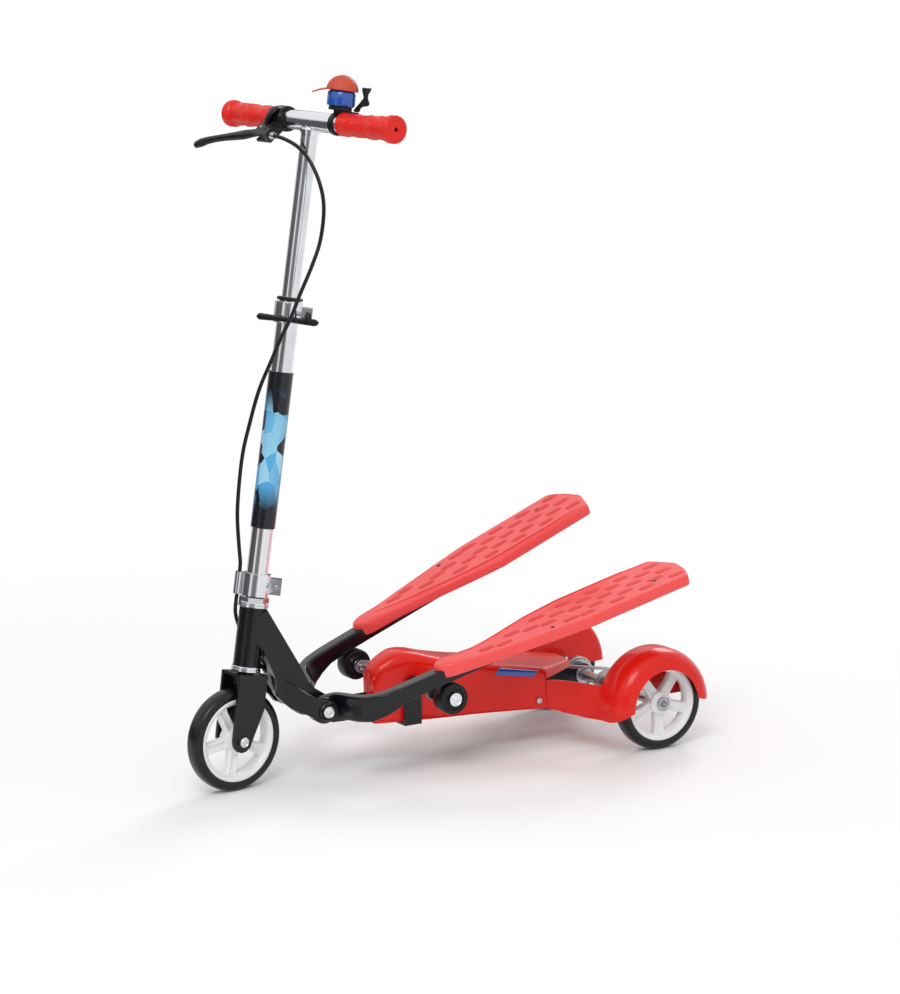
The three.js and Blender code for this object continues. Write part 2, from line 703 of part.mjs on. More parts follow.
// Body cover: rings along X in four runs, each with its X, half width, top and corner radius as shares.
// The nose's tops are shares of the cover's height, and behind it they are room over the chain.
const coverLow = 62;
const coverHeight = 93;
const coverCorner = 18;
const coverNoseAhead = 50;
const coverNoseHalf = crankPlateInner - weldDepth;
const coverStandOff = 12;
const coverBackHalf = crossHalf + coverStandOff;
const coverBackGap = 13;
const coverMiddleHalf = crossHalf + shellWall + seatGap;
const coverTailFromAxle = 73.7;
const coverTailHalf = 28;
const coverTailLow = 103.6;
const coverRoof = 12.7;
const coverFront = crankX - coverNoseAhead;
const coverNoseEnd = crankPlateTo;
const coverBack = beamEnd + coverBackGap;
const coverTail = wheelbase - coverTailFromAxle;
const noseShares = [
  [0, 0.452, 0.731, 0.556],
  [0.082, 0.548, 0.817, 0.667],
  [0.279, 0.661, 0.914, 0.778],
  [0.607, 0.806, 1, 0.889],
  [1, 1, 0.98, 0.95],
];
const middleShares = [
  [0.164, 0.157, 0.612, 1],
  [0.568, 0.472, 0.354, 1],
  [1, 1, 0.379, 0.86],
];
const backShares = [[1, 1, 0.462, 0.778]];
const tailShares = [
  [0.031, 0.023, 0.451, 0.7],
  [0.538, 0.5, 0.728, 0.57],
  [1, 1, 1, 0.45],
];
const cornerSteps = 4;
function coverRun(shares, xFrom, xTo, halfFrom, halfTo, low, topAt) {
  return shares.map(([xShare, half, top, corner]) => {
    const x = between(xFrom, xTo, xShare);
    const sizes = { half: between(halfFrom, halfTo, half), top: topAt(x, top), corner: corner * coverCorner };
    return { x, low, ...sizes };
  });
}
const noseTop = (x, share) => coverLow + share * coverHeight;
const backTop = (x, share) => chainTopAt(x) + share * coverRoof;
const coverStations = [
  ...coverRun(noseShares, coverFront, coverNoseEnd, 0, coverNoseHalf, coverLow, noseTop),
  ...coverRun(middleShares, coverNoseEnd, crossFrom, coverNoseHalf, coverMiddleHalf, coverLow, backTop),
  ...coverRun(backShares, crossFrom, coverBack, coverMiddleHalf, coverBackHalf, coverLow, backTop),
  ...coverRun(tailShares, coverBack, coverTail, coverBackHalf, coverTailHalf, coverTailLow, backTop),
];
function coverRing(station, drop, drawIn, shift) {
  const side = station.half - drawIn;
  const high = station.top - drawIn;
  const corner = station.corner - drawIn;
  const left = arc(corner - side, high - corner, corner, Math.PI, Math.PI / 2, cornerSteps);
  const right = arc(side - corner, high - corner, corner, Math.PI / 2, 0, cornerSteps);
  const low = station.low - drop;
  return [[-side, low], ...left, ...right, [side, low]].map(([y, z]) => [station.x + shift, y, z]);
}
const shaftRoom = 2;
function bodyCover() {
  const last = coverStations.length - 1;
  const outer = loft(coverStations.map((station) => coverRing(station, 0, 0, 0)));
  const inner = loft(
    coverStations.map((station, i) => {
      const shift = i === 0 ? shellWall : i === last ? overrun : 0;
      return coverRing(station, overrun, shellWall, shift);
    }),
  );
  const slotHalf = beamHalfWidth + 2 * seatGap;
  const slotTop = beamHigh + 2 * seatGap;
  const slot = block(coverFront - overrun, coverStations[2].x, -slotHalf, slotHalf, 0, slotTop);
  const shaftHole = rodY(crankShaftRadius + shaftRoom, -crankPlateOuter, crankPlateOuter, crankX, crankZ);
  const reach = rearWheelOuterFace;
  const screwHole = rodY(screwRadius + seatGap, -reach, reach, screwX, screwZ, smallFacets);
  return cut(outer, inner, slot, shaftHole, screwHole);
}
const screwFromBack = 11;
const screwX = coverBack - screwFromBack;
const screwZ = 74;
const screwRadius = 2.5;
const screwHead = 4;
const screwHeadHeight = 2;
function coverWidthAt(x) {
  const i = coverStations.findIndex((station) => station.x >= x);
  const before = coverStations[i - 1];
  const after = coverStations[i];
  return between(before.half, after.half, (x - before.x) / (after.x - before.x));
}
function coverScrew(side) {
  const face = coverWidthAt(screwX + screwHead) + seatGap;
  const shankLimits = span(side, crossHalf + seatGap, face + seatGap);
  const shank = rodY(screwRadius, ...shankLimits, screwX, screwZ, smallFacets);
  const head = rodY(screwHead, ...span(side, face, face + screwHeadHeight), screwX, screwZ, smallFacets);
  return join(shank, head);
}

// Rear fenders: a turned shell cut open below, with a skirt that runs to the cover
const fenderRoom = 13.7;
const fenderRadius = rearWheelRadius + fenderRoom;
const fenderForward = 7;
const fenderX = wheelbase - fenderForward;
const fenderInner = 108;
const fenderOuter = 168;
const fenderLipDrop = 26;
const fenderLip = fenderRadius - fenderLipDrop;
const fenderHole = 18;
const fenderRearLow = rearWheelRadius + fenderRoom / 8;
const fenderFrontDrop = 16.3;
const fenderFrontLow = rearWheelRadius - fenderFrontDrop;
const fenderShoulderShare = 0.9;
const fenderEdgeShare = 1 / 6;
const skirtGap = 3.2;
const skirtFrontX = coverBack + skirtGap;
const skirtFrontY = coverBackHalf - skirtGap / 2;
const skirtEndX = fenderX - fenderRadius + shellWall;
const skirtBendAhead = 25;
const skirtBendX = skirtEndX - skirtBendAhead;
const skirtBendShare = 0.66;
const skirtBendY = between(skirtFrontY, fenderInner, skirtBendShare);
const skirtBendLow = fenderFrontLow + skirtGap;
const skirtFrontTop = coverTailLow - 2 * seatGap;
const skirtEndDrop = 7;
const skirtEndTop = skirtFrontTop - skirtEndDrop;
function fenderProfile() {
  const depth = fenderOuter - fenderInner;
  const middle = fenderInner + depth / 2;
  const crown = arc(0, 0, 1, Math.PI / 2, 0, smallFacets / 2).map(([a, b]) => {
    return [between(fenderLip, fenderRadius, b), between(middle, fenderOuter, a)];
  });
  const shoulder = fenderRadius * fenderShoulderShare;
  const edge = fenderInner + depth * fenderEdgeShare;
  const outside = [[fenderHole, fenderInner], [shoulder, fenderInner], [fenderRadius, edge], ...crown];
  const back = fenderInner + shellWall;
  const inside = outside.slice(2).map(([r, y]) => [r - shellWall, y]).reverse();
  return [...outside, ...inside, [shoulder - shellWall, back], [fenderHole, back], outside[0]];
}
function fender(side) {
  const shell = turnedY(fenderProfile(), wheelFacets).translate(fenderX, 0, rearWheelRadius);
  const wide = fenderRadius * 2;
  const far = fenderOuter * 2;
  const rearCut = block(fenderX, fenderX + wide, 0, far, -wide, fenderRearLow);
  const frontCut = block(fenderX - wide, fenderX + seatGap, 0, far, -wide, fenderFrontLow);
  const skirtEndY = between(fenderInner, fenderOuter, 1 / 3);
  const skirtPath = [[skirtFrontX, skirtFrontY], [skirtBendX, skirtBendY], [skirtEndX, skirtEndY]];
  const skirt = planPlate(band(skirtPath, shellWall), fenderFrontLow, skirtFrontTop);
  const skirtOutline = [
    [skirtFrontX - overrun, coverLow], [skirtBendX, skirtBendLow], [skirtEndX, fenderFrontLow],
    [fenderX, fenderFrontLow], [fenderX, skirtEndTop], [skirtEndX, skirtEndTop],
    [skirtFrontX - overrun, skirtFrontTop],
  ];
  const skirtFace = common(skirt, sidePlate(skirtOutline, 0, fenderOuter));
  const inner = fenderInner + shellWall;
  const wheelRoom = rodY(fenderRadius - shellWall, inner, far, fenderX, rearWheelRadius, wheelFacets);
  const whole = join(cut(shell, rearCut, frontCut), cut(skirtFace, wheelRoom));
  return side > 0 ? whole : mirrored(whole);
}

// Pedals: an arm that crosses out from the pivot, and a board on it
const armWidth = 22;
const armLow = -3.2;
const armHigh = 17.2;
const armWall = 1.8;
const armEnd = 500;
const armCrossWidth = 10;
const crossLow = -20;
const armHubInner = downHalfWidth + seatGap;
const armHubOuter = 38.5;
const armHubRadius = 18;
const armHubRoom = 38;
// The arm's paths, as shares of the crossing's run along X and of the pedal's Y
const crossRun = 56;
const armCrossShares = [
  [-0.25, 0.271], [0.18, 0.276], [0.36, 0.343], [0.43, 0.476], [0.55, 0.724], [0.75, 0.895], [1, 0.971],
];
const armBendShares = [[0.54, 0.857], [0.82, 0.943], [1.21, 0.99], [1.6, 1]];
// The board's outlines, as shares of its length and width
const deckFront = 135;
const deckLength = 395;
const deckInner = 52;
const deckWidth = 109.7;
const deckShares = [
  [0, 0.483], [0.018, 0.392], [0.043, 0.328], [0.165, 0.31], [0.314, 0.21], [0.443, 0.091], [0.562, 0],
  [0.957, 0.036], [1, 0.456], [0.982, 0.757], [0.949, 1], [0.544, 0.985], [0.418, 0.912], [0.218, 0.784],
  [0.043, 0.638], [0.018, 0.574],
];
const deckNoseShares = [
  [0.003, 0.483], [0.02, 0.401], [0.046, 0.346], [0.159, 0.346], [0.228, 0.483], [0.159, 0.711],
  [0.046, 0.62], [0.02, 0.565],
];
const deckLow = 6;
const deckTop = 20.5;
const deckNoseHeight = 6.5;
function pedalArm(side) {
  const crossPath = spread(armCrossShares, 0, 0, crossRun, pedalCentreY);
  const bendPath = spread(armBendShares, 0, 0, crossRun, pedalCentreY);
  const cross = planPlate(mirrorY(band(crossPath, armCrossWidth), side), crossLow, armHigh);
  const tubePath = [...bendPath, [armEnd, pedalCentreY]];
  const tube = planPlate(mirrorY(band(tubePath, armWidth), side), armLow, armHigh);
  const hub = rodY(armHubRadius, ...span(side, armHubInner, armHubOuter));
  const room = rodY(armHubRoom, ...span(side, armHubInner, armHubOuter + pedalCentreY));
  const behindHub = block(armHubRadius / 2, armEnd, -armEnd, armEnd, -armEnd, armEnd);
  const keptCross = common(cross, join(hub, behindHub, room));
  const bore = rodY(pivotBoltRadius + seatGap, -armEnd, armEnd, 0, 0, smallFacets);
  const hollowPath = [bendPath[bendPath.length - 1], [armEnd + overrun, pedalCentreY]];
  const hollowOutline = mirrorY(band(hollowPath, armWidth - 2 * armWall), side);
  const hollow = planPlate(hollowOutline, armLow + armWall, armHigh - armWall);
  return cut(join(keptCross, tube, hub), bore, hollow);
}
function deck(side) {
  const outline = mirrorY(spread(deckShares, deckFront, deckInner, deckLength, deckWidth), side);
  const noseOutline = mirrorY(spread(deckNoseShares, deckFront, deckInner, deckLength, deckWidth), side);
  const whole = planPlate(outline, deckLow, deckTop);
  const pocket = planPlate(inset(outline, shellWall), deckLow - overrun, armHigh + seatGap);
  const nose = planPlate(noseOutline, deckTop - weldDepth, deckTop + deckNoseHeight);
  const half = armWidth / 2 + 2 * seatGap;
  const armLimits = span(side, pedalCentreY - half, pedalCentreY + half);
  const armRoom = block(0, deckFront + deckLength / 2, ...armLimits, 0, armHigh + seatGap);
  return join(cut(whole, pocket, armRoom), nose);
}

// Crank with its two rollers, chain wheel, chain and rear sprocket
const crankArmInner = 80;
const crankArmOuter = 87;
const crankEyeRadius = 9;
const rollerInner = 93;
const rollerOuter = 116;
const rollerEdge = 2;
const rollerPinRadius = 5;
const rollerPinHead = 8.8;
const rollerHeadHeight = 2.5;
function crankAxle() {
  const reach = crankArmInner + weldDepth;
  const shaft = rodY(crankShaftRadius, -reach, reach);
  const wheel = rodY(chainWheelRadius, -chainWheelHalf, chainWheelHalf, 0, 0, wheelFacets);
  return join(shaft, wheel, crankArm(-1), crankArm(1));
}
function crankArm(side) {
  const limits = span(side, crankArmInner, crankArmOuter);
  const pinX = side * -crankThrow;
  const eyes = join(rodY(crankEyeRadius, ...limits), rodY(crankEyeRadius, ...limits, pinX, 0));
  const web = block(...span(-side, 0, crankThrow), ...limits, -crankEyeRadius, crankEyeRadius);
  const pinHole = rodY(rollerPinRadius + seatGap, -rollerOuter, rollerOuter, pinX, 0, smallFacets);
  return cut(join(eyes, web), pinHole);
}
function rollerPin(side) {
  const start = crankArmInner - rollerHeadHeight;
  const shank = rodY(rollerPinRadius, ...span(side, start, rollerOuter), 0, 0, smallFacets);
  const headLimits = span(side, rollerOuter + seatGap, rollerOuter + rollerHeadHeight);
  const head = rodY(rollerPinHead, ...headLimits, 0, 0, smallFacets);
  const linkLimits = span(side, rollerOuter - weldDepth, rollerOuter + weldDepth);
  const link = rodY(rollerPinRadius, ...linkLimits, 0, 0, smallFacets);
  const collarLimits = span(side, crankArmOuter + seatGap, rollerInner - seatGap);
  const collar = rodY(rollerPinHead, ...collarLimits, 0, 0, smallFacets);
  return join(shank, head, link, collar);
}
function roller(side) {
  const profile = [
    [rollerPinRadius + seatGap, rollerInner],
    [rollerRadius - rollerEdge, rollerInner],
    [rollerRadius, rollerInner + rollerEdge],
    [rollerRadius, rollerOuter - rollerEdge],
    [rollerRadius - rollerEdge, rollerOuter],
    [rollerPinRadius + seatGap, rollerOuter],
    [rollerPinRadius + seatGap, rollerInner],
  ];
  const made = turnedY(profile);
  return side > 0 ? made : made.rotateZ(Math.PI);
}
function chainOutline(grow) {
  const big = chainWheelRadius + grow;
  const small = sprocketRadius + grow;
  const length = Math.hypot(wheelbase - crankX, rearWheelRadius - crankZ);
  const slope = Math.atan2(rearWheelRadius - crankZ, wheelbase - crankX);
  const open = Math.acos((big - small) / length);
  const front = arc(crankX, crankZ, big, slope + open, slope + 2 * Math.PI - open, tubeFacets);
  const rear = arc(wheelbase, rearWheelRadius, small, slope - open, slope + open, smallFacets);
  return [...front, ...rear];
}
// The chain's own band, or with room added the space that the frame leaves for it.
function chain(room) {
  const half = chainHalf + room;
  const outer = sidePlate(chainOutline(chainReach + room), -half, half);
  const inner = sidePlate(chainOutline(seatGap * 2 - room), -half - overrun, half + overrun);
  return cut(outer, inner);
}

// Rear axle with its sprocket, brake drum, band and arm
const axleEndRadius = 5;
const axleShoulderGap = 4;
const axleEndFrom = rearWheelOuterFace - 2 * wheelHalfWidth - axleShoulderGap;
const axleStub = 5;
const axleEnd = rearWheelOuterFace + axleStub;
const drumGap = 6;
const drumWidth = 16;
const drumInner = crossHalf + drumGap;
const drumOuter = drumInner + drumWidth;
const drumRadius = 20;
const bandThickness = 2.5;
const bandInset = 2;
const bandLugReach = 36;
const nutRadius = 9;
const nutHeight = 4;
const rearHubCentre = rearWheelOuterFace - wheelHalfWidth;
const rearNutFrom = rearHubCentre + hubHalfWidth + seatGap;
function rearAxle() {
  const thick = rodY(rearAxleRadius, -axleEndFrom, axleEndFrom);
  const thin = rodY(axleEndRadius, -axleEnd, axleEnd);
  return join(thick, thin);
}
function sprocket() {
  return ringY(rearAxleRadius + seatGap, sprocketRadius, -chainWheelHalf, chainWheelHalf, wheelFacets);
}
function brakeDrum() {
  return ringY(rearAxleRadius + seatGap, drumRadius, drumInner, drumOuter, wheelFacets);
}
function brakeBand() {
  const inner = drumRadius + seatGap * 2;
  const from = drumInner + bandInset;
  const to = drumOuter - bandInset;
  const strip = ringY(inner, inner + bandThickness, from, to, wheelFacets);
  const thick = bandThickness * 2;
  const lug = block(-bandLugReach, -inner - weldDepth, from, to, -thick, thick);
  const anchor = block(-bandLugReach, thick - bandLugReach, crossHalf + seatGap, to, -thick, thick);
  return join(strip, lug, anchor);
}
function bearing(inner, outer, from, to) {
  return ringY(inner + seatGap, outer, from, to);
}

// Brake cable: points chosen by hand, in the column's frame and in the scooter's
const handlebarCable = [
  [-24, 40.6, 782], [-25, 17, 779], [-23, -10, 771], [-18, -28, 758], [-10, -44, 733],
  [-4, -53, 703], [-4, -55, 658], [-11, -53, 624], [-20, -47, 586], [-26, -42, 556], [-32, -35, 530],
  [-37, -27, 500], [-42, -14, 458], [-43, -3, 410], [-41, 6, 376], [-37, 12, 338],
  [-32, 14.5, 292], [-24, 14, 252], [-19.2, 13.4, 230], [-18.84, 13.19, 219.4],
];
const turningCable = [
  [16.85, 9.97, 257.98], [15.3, 10.2, 248.7], [16.5, 16, 232], [24, 22.5, 212],
  [34, 23.8, 193], [41, 22, 179], [41.2, 18, 170.5], [44.5, 12, 163],
];
const frameCable = [
  [44.61, 11.79, 162.74], [46.9, 7.66, 157.6], [54, 6.2, 150.5], [62, 6.2, 143], [70, 6.2, 133],
  [77.5, 6.2, 122.5],
  [90, 6.2, 106], [104.5, 6.2, 91], [116.5, 6.2, 84.8], [130, 6.2, 79], [150, 6.2, 76.5],
  [200, 6.2, 76.5], [290, 6.2, 76.5], [376, 6.2, 75.5], [400, 6.2, 67], [418, 7.5, 62.4],
  [442, 15, 59], [476, 38, 50.5], [500, 55, 46.2], [516, 66, 50], [527, 73, 59.4], [536.3, 74, 64.3],
];
const cableEntryPoints = 6;
const cableSteps = 56;
const turningSteps = 20;

const part = new THREE.Group();
const scooter = new THREE.Group();
part.add(scooter);

// Frame
scooter.add(named("main_frame", mainFrame(), blackPaint));
const pivotReach = lugOuter + seatGap;
const pivotBoltShape = axleBolt(pivotReach, pivotBoltRadius, pivotHeadRadius, pivotHeadHeight);
const pivotBolt = named("pivot_bolt", pivotBoltShape, chrome);
pivotBolt.position.set(pivotX, 0, pivotZ);
scooter.add(pivotBolt);
scooter.add(named("body_cover", bodyCover(), redGloss));
const sides = [["left", -1], ["right", 1]];
sides.forEach(([label, side]) => {
  scooter.add(named("cover_screw_" + label, coverScrew(side), steel));
  scooter.add(named("rear_fender_" + label, fender(side), redGloss));
  const crankLimits = span(side, crankPlateInner, crankPlateOuter + crankShaftRadius);
  const crankRing = bearing(crankShaftRadius, crankBearingRadius, ...crankLimits);
  const crankBearing = named("crank_bearing_" + label, crankRing, chrome);
  crankBearing.position.set(crankX, 0, crankZ);
  scooter.add(crankBearing);
  const axleLimits = span(side, crossHalf - 2 * plateWall, crossHalf + weldDepth);
  const axleRing = bearing(rearAxleRadius, rearBearingRadius, ...axleLimits);
  const axleBearing = named("axle_bearing_" + label, axleRing, steel);
  axleBearing.position.set(wheelbase, 0, rearWheelRadius);
  scooter.add(axleBearing);
});
scooter.add(named("drive_chain", chain(0), steel));
const brakeBandMesh = named("brake_band", brakeBand(), steel);
brakeBandMesh.position.set(wheelbase, 0, rearWheelRadius);
scooter.add(brakeBandMesh);

// Column, first tilted by the rake
const column = new THREE.Group();
column.name = "column";
column.position.set(axisFootX, 0, axisFootZ);
column.rotation.y = rakeAngle;
scooter.add(column);
const lowerCupFrom = headTubeLow - seatGap - lowerCupHeight;
column.add(named("headset_lower_cup", cup(lowerCupFrom, headTubeLow - seatGap, lowerCupRadius), chrome));
const upperCupFrom = headTubeHigh + seatGap;
const upperCupTo = upperCupFrom + upperCupHeight;
column.add(named("headset_upper_cup", cup(upperCupFrom, upperCupTo, upperCupRadius), chrome));

// Everything that turns with the handlebar
const steering = new THREE.Group();
steering.name = "steering";
steering.rotation.z = restSteer;
column.add(steering);
steering.add(named("fork", fork(), blackPaint));
const headNutFrom = upperCupTo + seatGap;
const headNut = hexNut(steererRadius + seatGap, headNutRadius, headNutFrom, headNutFrom + headNutHeight);
steering.add(named("headset_nut", headNut, chrome));
steering.add(named("lower_clamp", lowerClamp(), chrome));
const lowerBoltReach = earHalfWidth + clampBoltEnd;
const lowerBolt = clampBolt(lowerClampLow, lowerClampHigh, earReach, earAngle, lowerBoltReach);
steering.add(named("lower_clamp_bolt", lowerBolt, steel));
const columnTube = ringZ(slideTubeRadius + seatGap, columnRadius, columnLow, columnHigh);
steering.add(named("column_tube", columnTube, chrome));
const sleeve = ringZ(columnRadius + seatGap, columnRadius + sleeveWall, sleeveLow, sleeveHigh);
steering.add(named("column_sleeve", sleeve, sleevePaint));
steering.add(named("quick_clamp", splitClamp(quickLow, quickHigh, quickReach, earAngle), chrome));
const quickBolt = clampBolt(quickLow, quickHigh, quickReach, earAngle, quickBoltReach);
steering.add(named("quick_clamp_bolt", quickBolt, steel));
const columnCap = ringZ(slideTubeRadius + seatGap, capRadius, columnHigh + seatGap, columnHigh + capHeight);
steering.add(named("column_cap", columnCap, blackPlastic));
const clampLever = new THREE.Group();
clampLever.name = "clamp_lever";
clampLever.rotation.z = earAngle;
clampLever.add(named("quick_clamp_lever", quickLever(), blackPlastic));
steering.add(clampLever);

const frontWheel = new THREE.Group();
frontWheel.name = "front_wheel";
frontWheel.position.x = -forkOffset;
frontWheel.add(named("front_tyre", tyre(frontWheelRadius), blackRubber));
frontWheel.add(named("front_rim", rim(frontWheelRadius, axleRadius + seatGap), whitePlastic));
const frontBoltReach = forkHalfWidth + seatGap;
const frontBolt = axleBolt(frontBoltReach, axleRadius, frontBoltHeadRadius, frontBoltHeadHeight);
frontWheel.add(named("front_axle_bolt", frontBolt, chrome));
steering.add(frontWheel);

// Handlebar set, which slides in the column
const stem = new THREE.Group();
stem.name = "stem";
steering.add(stem);
stem.add(named("handlebar", handlebar(), chrome));
const bar = new THREE.Group();
bar.position.z = crossbarStation;
stem.add(bar);
sides.forEach(([label, side]) => bar.add(named("grip_" + label, grip(side), redRubber)));
const brakeSet = new THREE.Group();
brakeSet.name = "brake_set";
brakeSet.rotation.y = Math.PI - brakeDrop;
bar.add(brakeSet);
brakeSet.add(named("brake_bracket", brakeBracket(), blackPlastic));
brakeSet.add(named("brake_lever_pin", brakePin(), steel));
brakeSet.add(named("cable_adjuster", cableAdjuster(), chrome));
brakeSet.add(named("brake_lever", brakeLever(), blackPlastic));
const bell = new THREE.Group();
bell.name = "bell";
bell.position.y = bellY;
bar.add(bell);
bell.add(named("bell_clamp", bellClamp(), blackPlastic));
bell.add(named("bell_drum", bellDrum(), blueGloss));
bell.add(named("bell_cap", bellCap(), orangeCap));
bell.add(named("bell_lever", bellLever(), blackPlastic));

// Cables
steering.add(named("brake_cable_upper", cord(handlebarCable, cableRadius, cableSteps), blackPlastic));
scooter.add(named("brake_cable_turning", cord(turningCable, cableRadius, turningSteps), blackPlastic));
scooter.add(named("brake_cable_frame", cord(frameCable, cableRadius, cableSteps), blackPlastic));

// Pedals
sides.forEach(([label, side]) => {
  const pedal = new THREE.Group();
  pedal.name = "pedal_" + label;
  pedal.position.set(pivotX, 0, pivotZ);
  pedal.rotation.y = side < 0 ? -leftPedalAngle : -rightPedalAngle;
  pedal.add(named("pedal_arm_" + label, pedalArm(side), blackPaint));
  pedal.add(named("pedal_board_" + label, deck(side), redDeck));
  scooter.add(pedal);
});

// Crank
const crank = new THREE.Group();
crank.name = "crank";
crank.position.set(crankX, 0, crankZ);
crank.rotation.y = -crankAngle;
scooter.add(crank);
crank.add(named("crank_axle", crankAxle(), steel));
sides.forEach(([label, side]) => {
  const pinGroup = new THREE.Group();
  pinGroup.name = "roller_" + label;
  pinGroup.position.x = side * -crankThrow;
  pinGroup.add(named("roller_pin_" + label, rollerPin(side), chrome));
  pinGroup.add(named("pedal_roller_" + label, roller(side), blackRubber));
  crank.add(pinGroup);
});

// Rear axle and wheels
const rear = new THREE.Group();
rear.name = "rear_axle_group";
rear.position.set(wheelbase, 0, rearWheelRadius);
scooter.add(rear);
rear.add(named("rear_axle", rearAxle(), steel));
rear.add(named("rear_sprocket", sprocket(), steel));
rear.add(named("brake_drum", brakeDrum(), steel));
sides.forEach(([label, side]) => {
  const wheel = new THREE.Group();
  wheel.position.y = side * rearHubCentre;
  wheel.add(named("rear_tyre_" + label, tyre(rearWheelRadius), blackRubber));
  wheel.add(named("rear_rim_" + label, rim(rearWheelRadius, axleEndRadius + seatGap), whitePlastic));
  rear.add(wheel);
  const nutLimits = span(side, rearNutFrom, rearNutFrom + nutHeight);
  const nut = hexNut(axleEndRadius + seatGap, nutRadius, ...nutLimits).rotateX(-Math.PI / 2);
  rear.add(named("rear_nut_" + label, nut, chrome));
});

// The origin is the middle of the bounding box's bottom.
part.updateMatrixWorld(true);
const box = new THREE.Box3().setFromObject(part, true);
scooter.position.set(-(box.min.x + box.max.x) / 2, -(box.min.y + box.max.y) / 2, -box.min.z);

export default part;
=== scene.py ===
import json
import math
import bmesh
import bpy
import numpy as np
from mathutils import Matrix, Vector

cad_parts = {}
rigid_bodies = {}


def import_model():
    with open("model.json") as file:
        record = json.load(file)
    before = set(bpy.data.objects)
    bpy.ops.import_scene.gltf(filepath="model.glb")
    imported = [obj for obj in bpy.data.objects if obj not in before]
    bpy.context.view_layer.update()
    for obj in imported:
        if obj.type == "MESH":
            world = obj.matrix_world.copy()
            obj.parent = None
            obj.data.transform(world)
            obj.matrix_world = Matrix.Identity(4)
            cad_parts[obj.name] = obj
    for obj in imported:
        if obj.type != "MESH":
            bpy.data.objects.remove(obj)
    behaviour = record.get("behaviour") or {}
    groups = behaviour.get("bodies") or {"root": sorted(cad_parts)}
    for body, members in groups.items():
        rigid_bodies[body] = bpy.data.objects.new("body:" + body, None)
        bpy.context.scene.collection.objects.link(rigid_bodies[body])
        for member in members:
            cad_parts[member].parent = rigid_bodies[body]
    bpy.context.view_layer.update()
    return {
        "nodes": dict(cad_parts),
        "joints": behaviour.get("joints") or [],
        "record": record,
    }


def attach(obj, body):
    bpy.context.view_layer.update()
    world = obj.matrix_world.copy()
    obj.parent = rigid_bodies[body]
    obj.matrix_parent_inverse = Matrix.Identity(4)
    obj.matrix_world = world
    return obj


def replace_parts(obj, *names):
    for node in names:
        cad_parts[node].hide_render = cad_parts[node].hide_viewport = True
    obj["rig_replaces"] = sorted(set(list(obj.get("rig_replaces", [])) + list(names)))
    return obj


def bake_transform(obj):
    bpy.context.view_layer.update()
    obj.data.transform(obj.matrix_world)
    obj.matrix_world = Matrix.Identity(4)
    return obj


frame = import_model()
nodes = frame["nodes"]
joints = {joint["name"]: joint for joint in frame["joints"]}
bodyOf = {node: body for body, members in frame["record"]["behaviour"]["bodies"].items() for node in members}
slotOf = {entry["node"]: entry["material_slot"] for entry in frame["record"]["subparts"]}
mm = 0.001


# The frames that the pieces are drawn in: an origin and three axes as rows.
def makeFrame(origin, x, y, z):
    return {"origin": np.array(origin, float), "axes": np.array([x, y, z], float)}


def placed(points, place):
    # Points in a frame, as points of the scene.
    return np.asarray(points, float) @ place["axes"] + place["origin"]


def turnedFrame(name, angle):
    # A frame at a joint, tipped up at the rear by an angle in degrees.
    a = math.radians(angle)
    along, up = (math.cos(a), 0, math.sin(a)), (-math.sin(a), 0, math.cos(a))
    return makeFrame(joints[name]["pos_m"], along, (0, 1, 0), up)


scooter = {
    "wheelbase": 573.7 * mm, "frontRadius": 68.4 * mm, "rearRadius": 64.3 * mm,
    "pedalAngle": {"left": 14.2, "right": 21.9}, "barHeight": 806 * mm, "bellPlace": -58 * mm,
    "pivot": (116.5, 96.9),
}
axlePlace = np.array(joints["rear_axle"]["pos_m"]) - (scooter["wheelbase"], 0, scooter["rearRadius"])
ground = makeFrame(axlePlace, (1, 0, 0), (0, 1, 0), (0, 0, 1))
columnUp = Vector(joints["steering"]["axis"]).normalized()
columnSide = Vector(joints["front_wheel"]["axis"]).normalized()
columnRear = columnSide.cross(columnUp)
column = makeFrame(joints["steering"]["pos_m"], columnRear, columnSide, columnUp)
bar = makeFrame(placed((0, 0, scooter["barHeight"]), column), columnRear, columnSide, columnUp)
bell = makeFrame(placed((0, scooter["bellPlace"], 0), bar), columnRear, columnSide, columnUp)
pedalFrames = {side: turnedFrame(f"pedal_{side}", angle) for side, angle in scooter["pedalAngle"].items()}
sides = {"left": -1, "right": 1}


def setStops(ramp, stops):
    # A colour ramp's stops, each a place from 0 to 1 and a linear colour.
    while len(ramp.color_ramp.elements) < len(stops):
        ramp.color_ramp.elements.new(1)
    for element, (position, shade) in zip(ramp.color_ramp.elements, stops):
        element.position = position
        element.color = (*shade, 1)


# Shader values: a socket that Python's operators work on, each adding a Math node.
class Value:
    def __init__(self, tree, socket):
        self.tree = tree
        self.socket = socket

    def math(self, operation, *others):
        return self.tree.value("ShaderNodeMath", {"operation": operation}, dict(enumerate((self, *others))))

    def __add__(self, other):
        return self.math("ADD", other)

    def __sub__(self, other):
        return self.math("SUBTRACT", other)

    def __mul__(self, other):
        return self.math("MULTIPLY", other)

    def __rsub__(self, other):
        return self.tree.value("ShaderNodeMath", {"operation": "SUBTRACT"}, {0: other, 1: self})

    __radd__ = __add__
    __rmul__ = __mul__

    def above(self, edge, softness):
        # A mask that goes from 0 to 1 over a soft edge.
        return self.tree.value(
            "ShaderNodeMapRange",
            {"interpolation_type": "SMOOTHSTEP"},
            {"Value": self, "From Min": edge - softness, "From Max": edge + softness},
        )


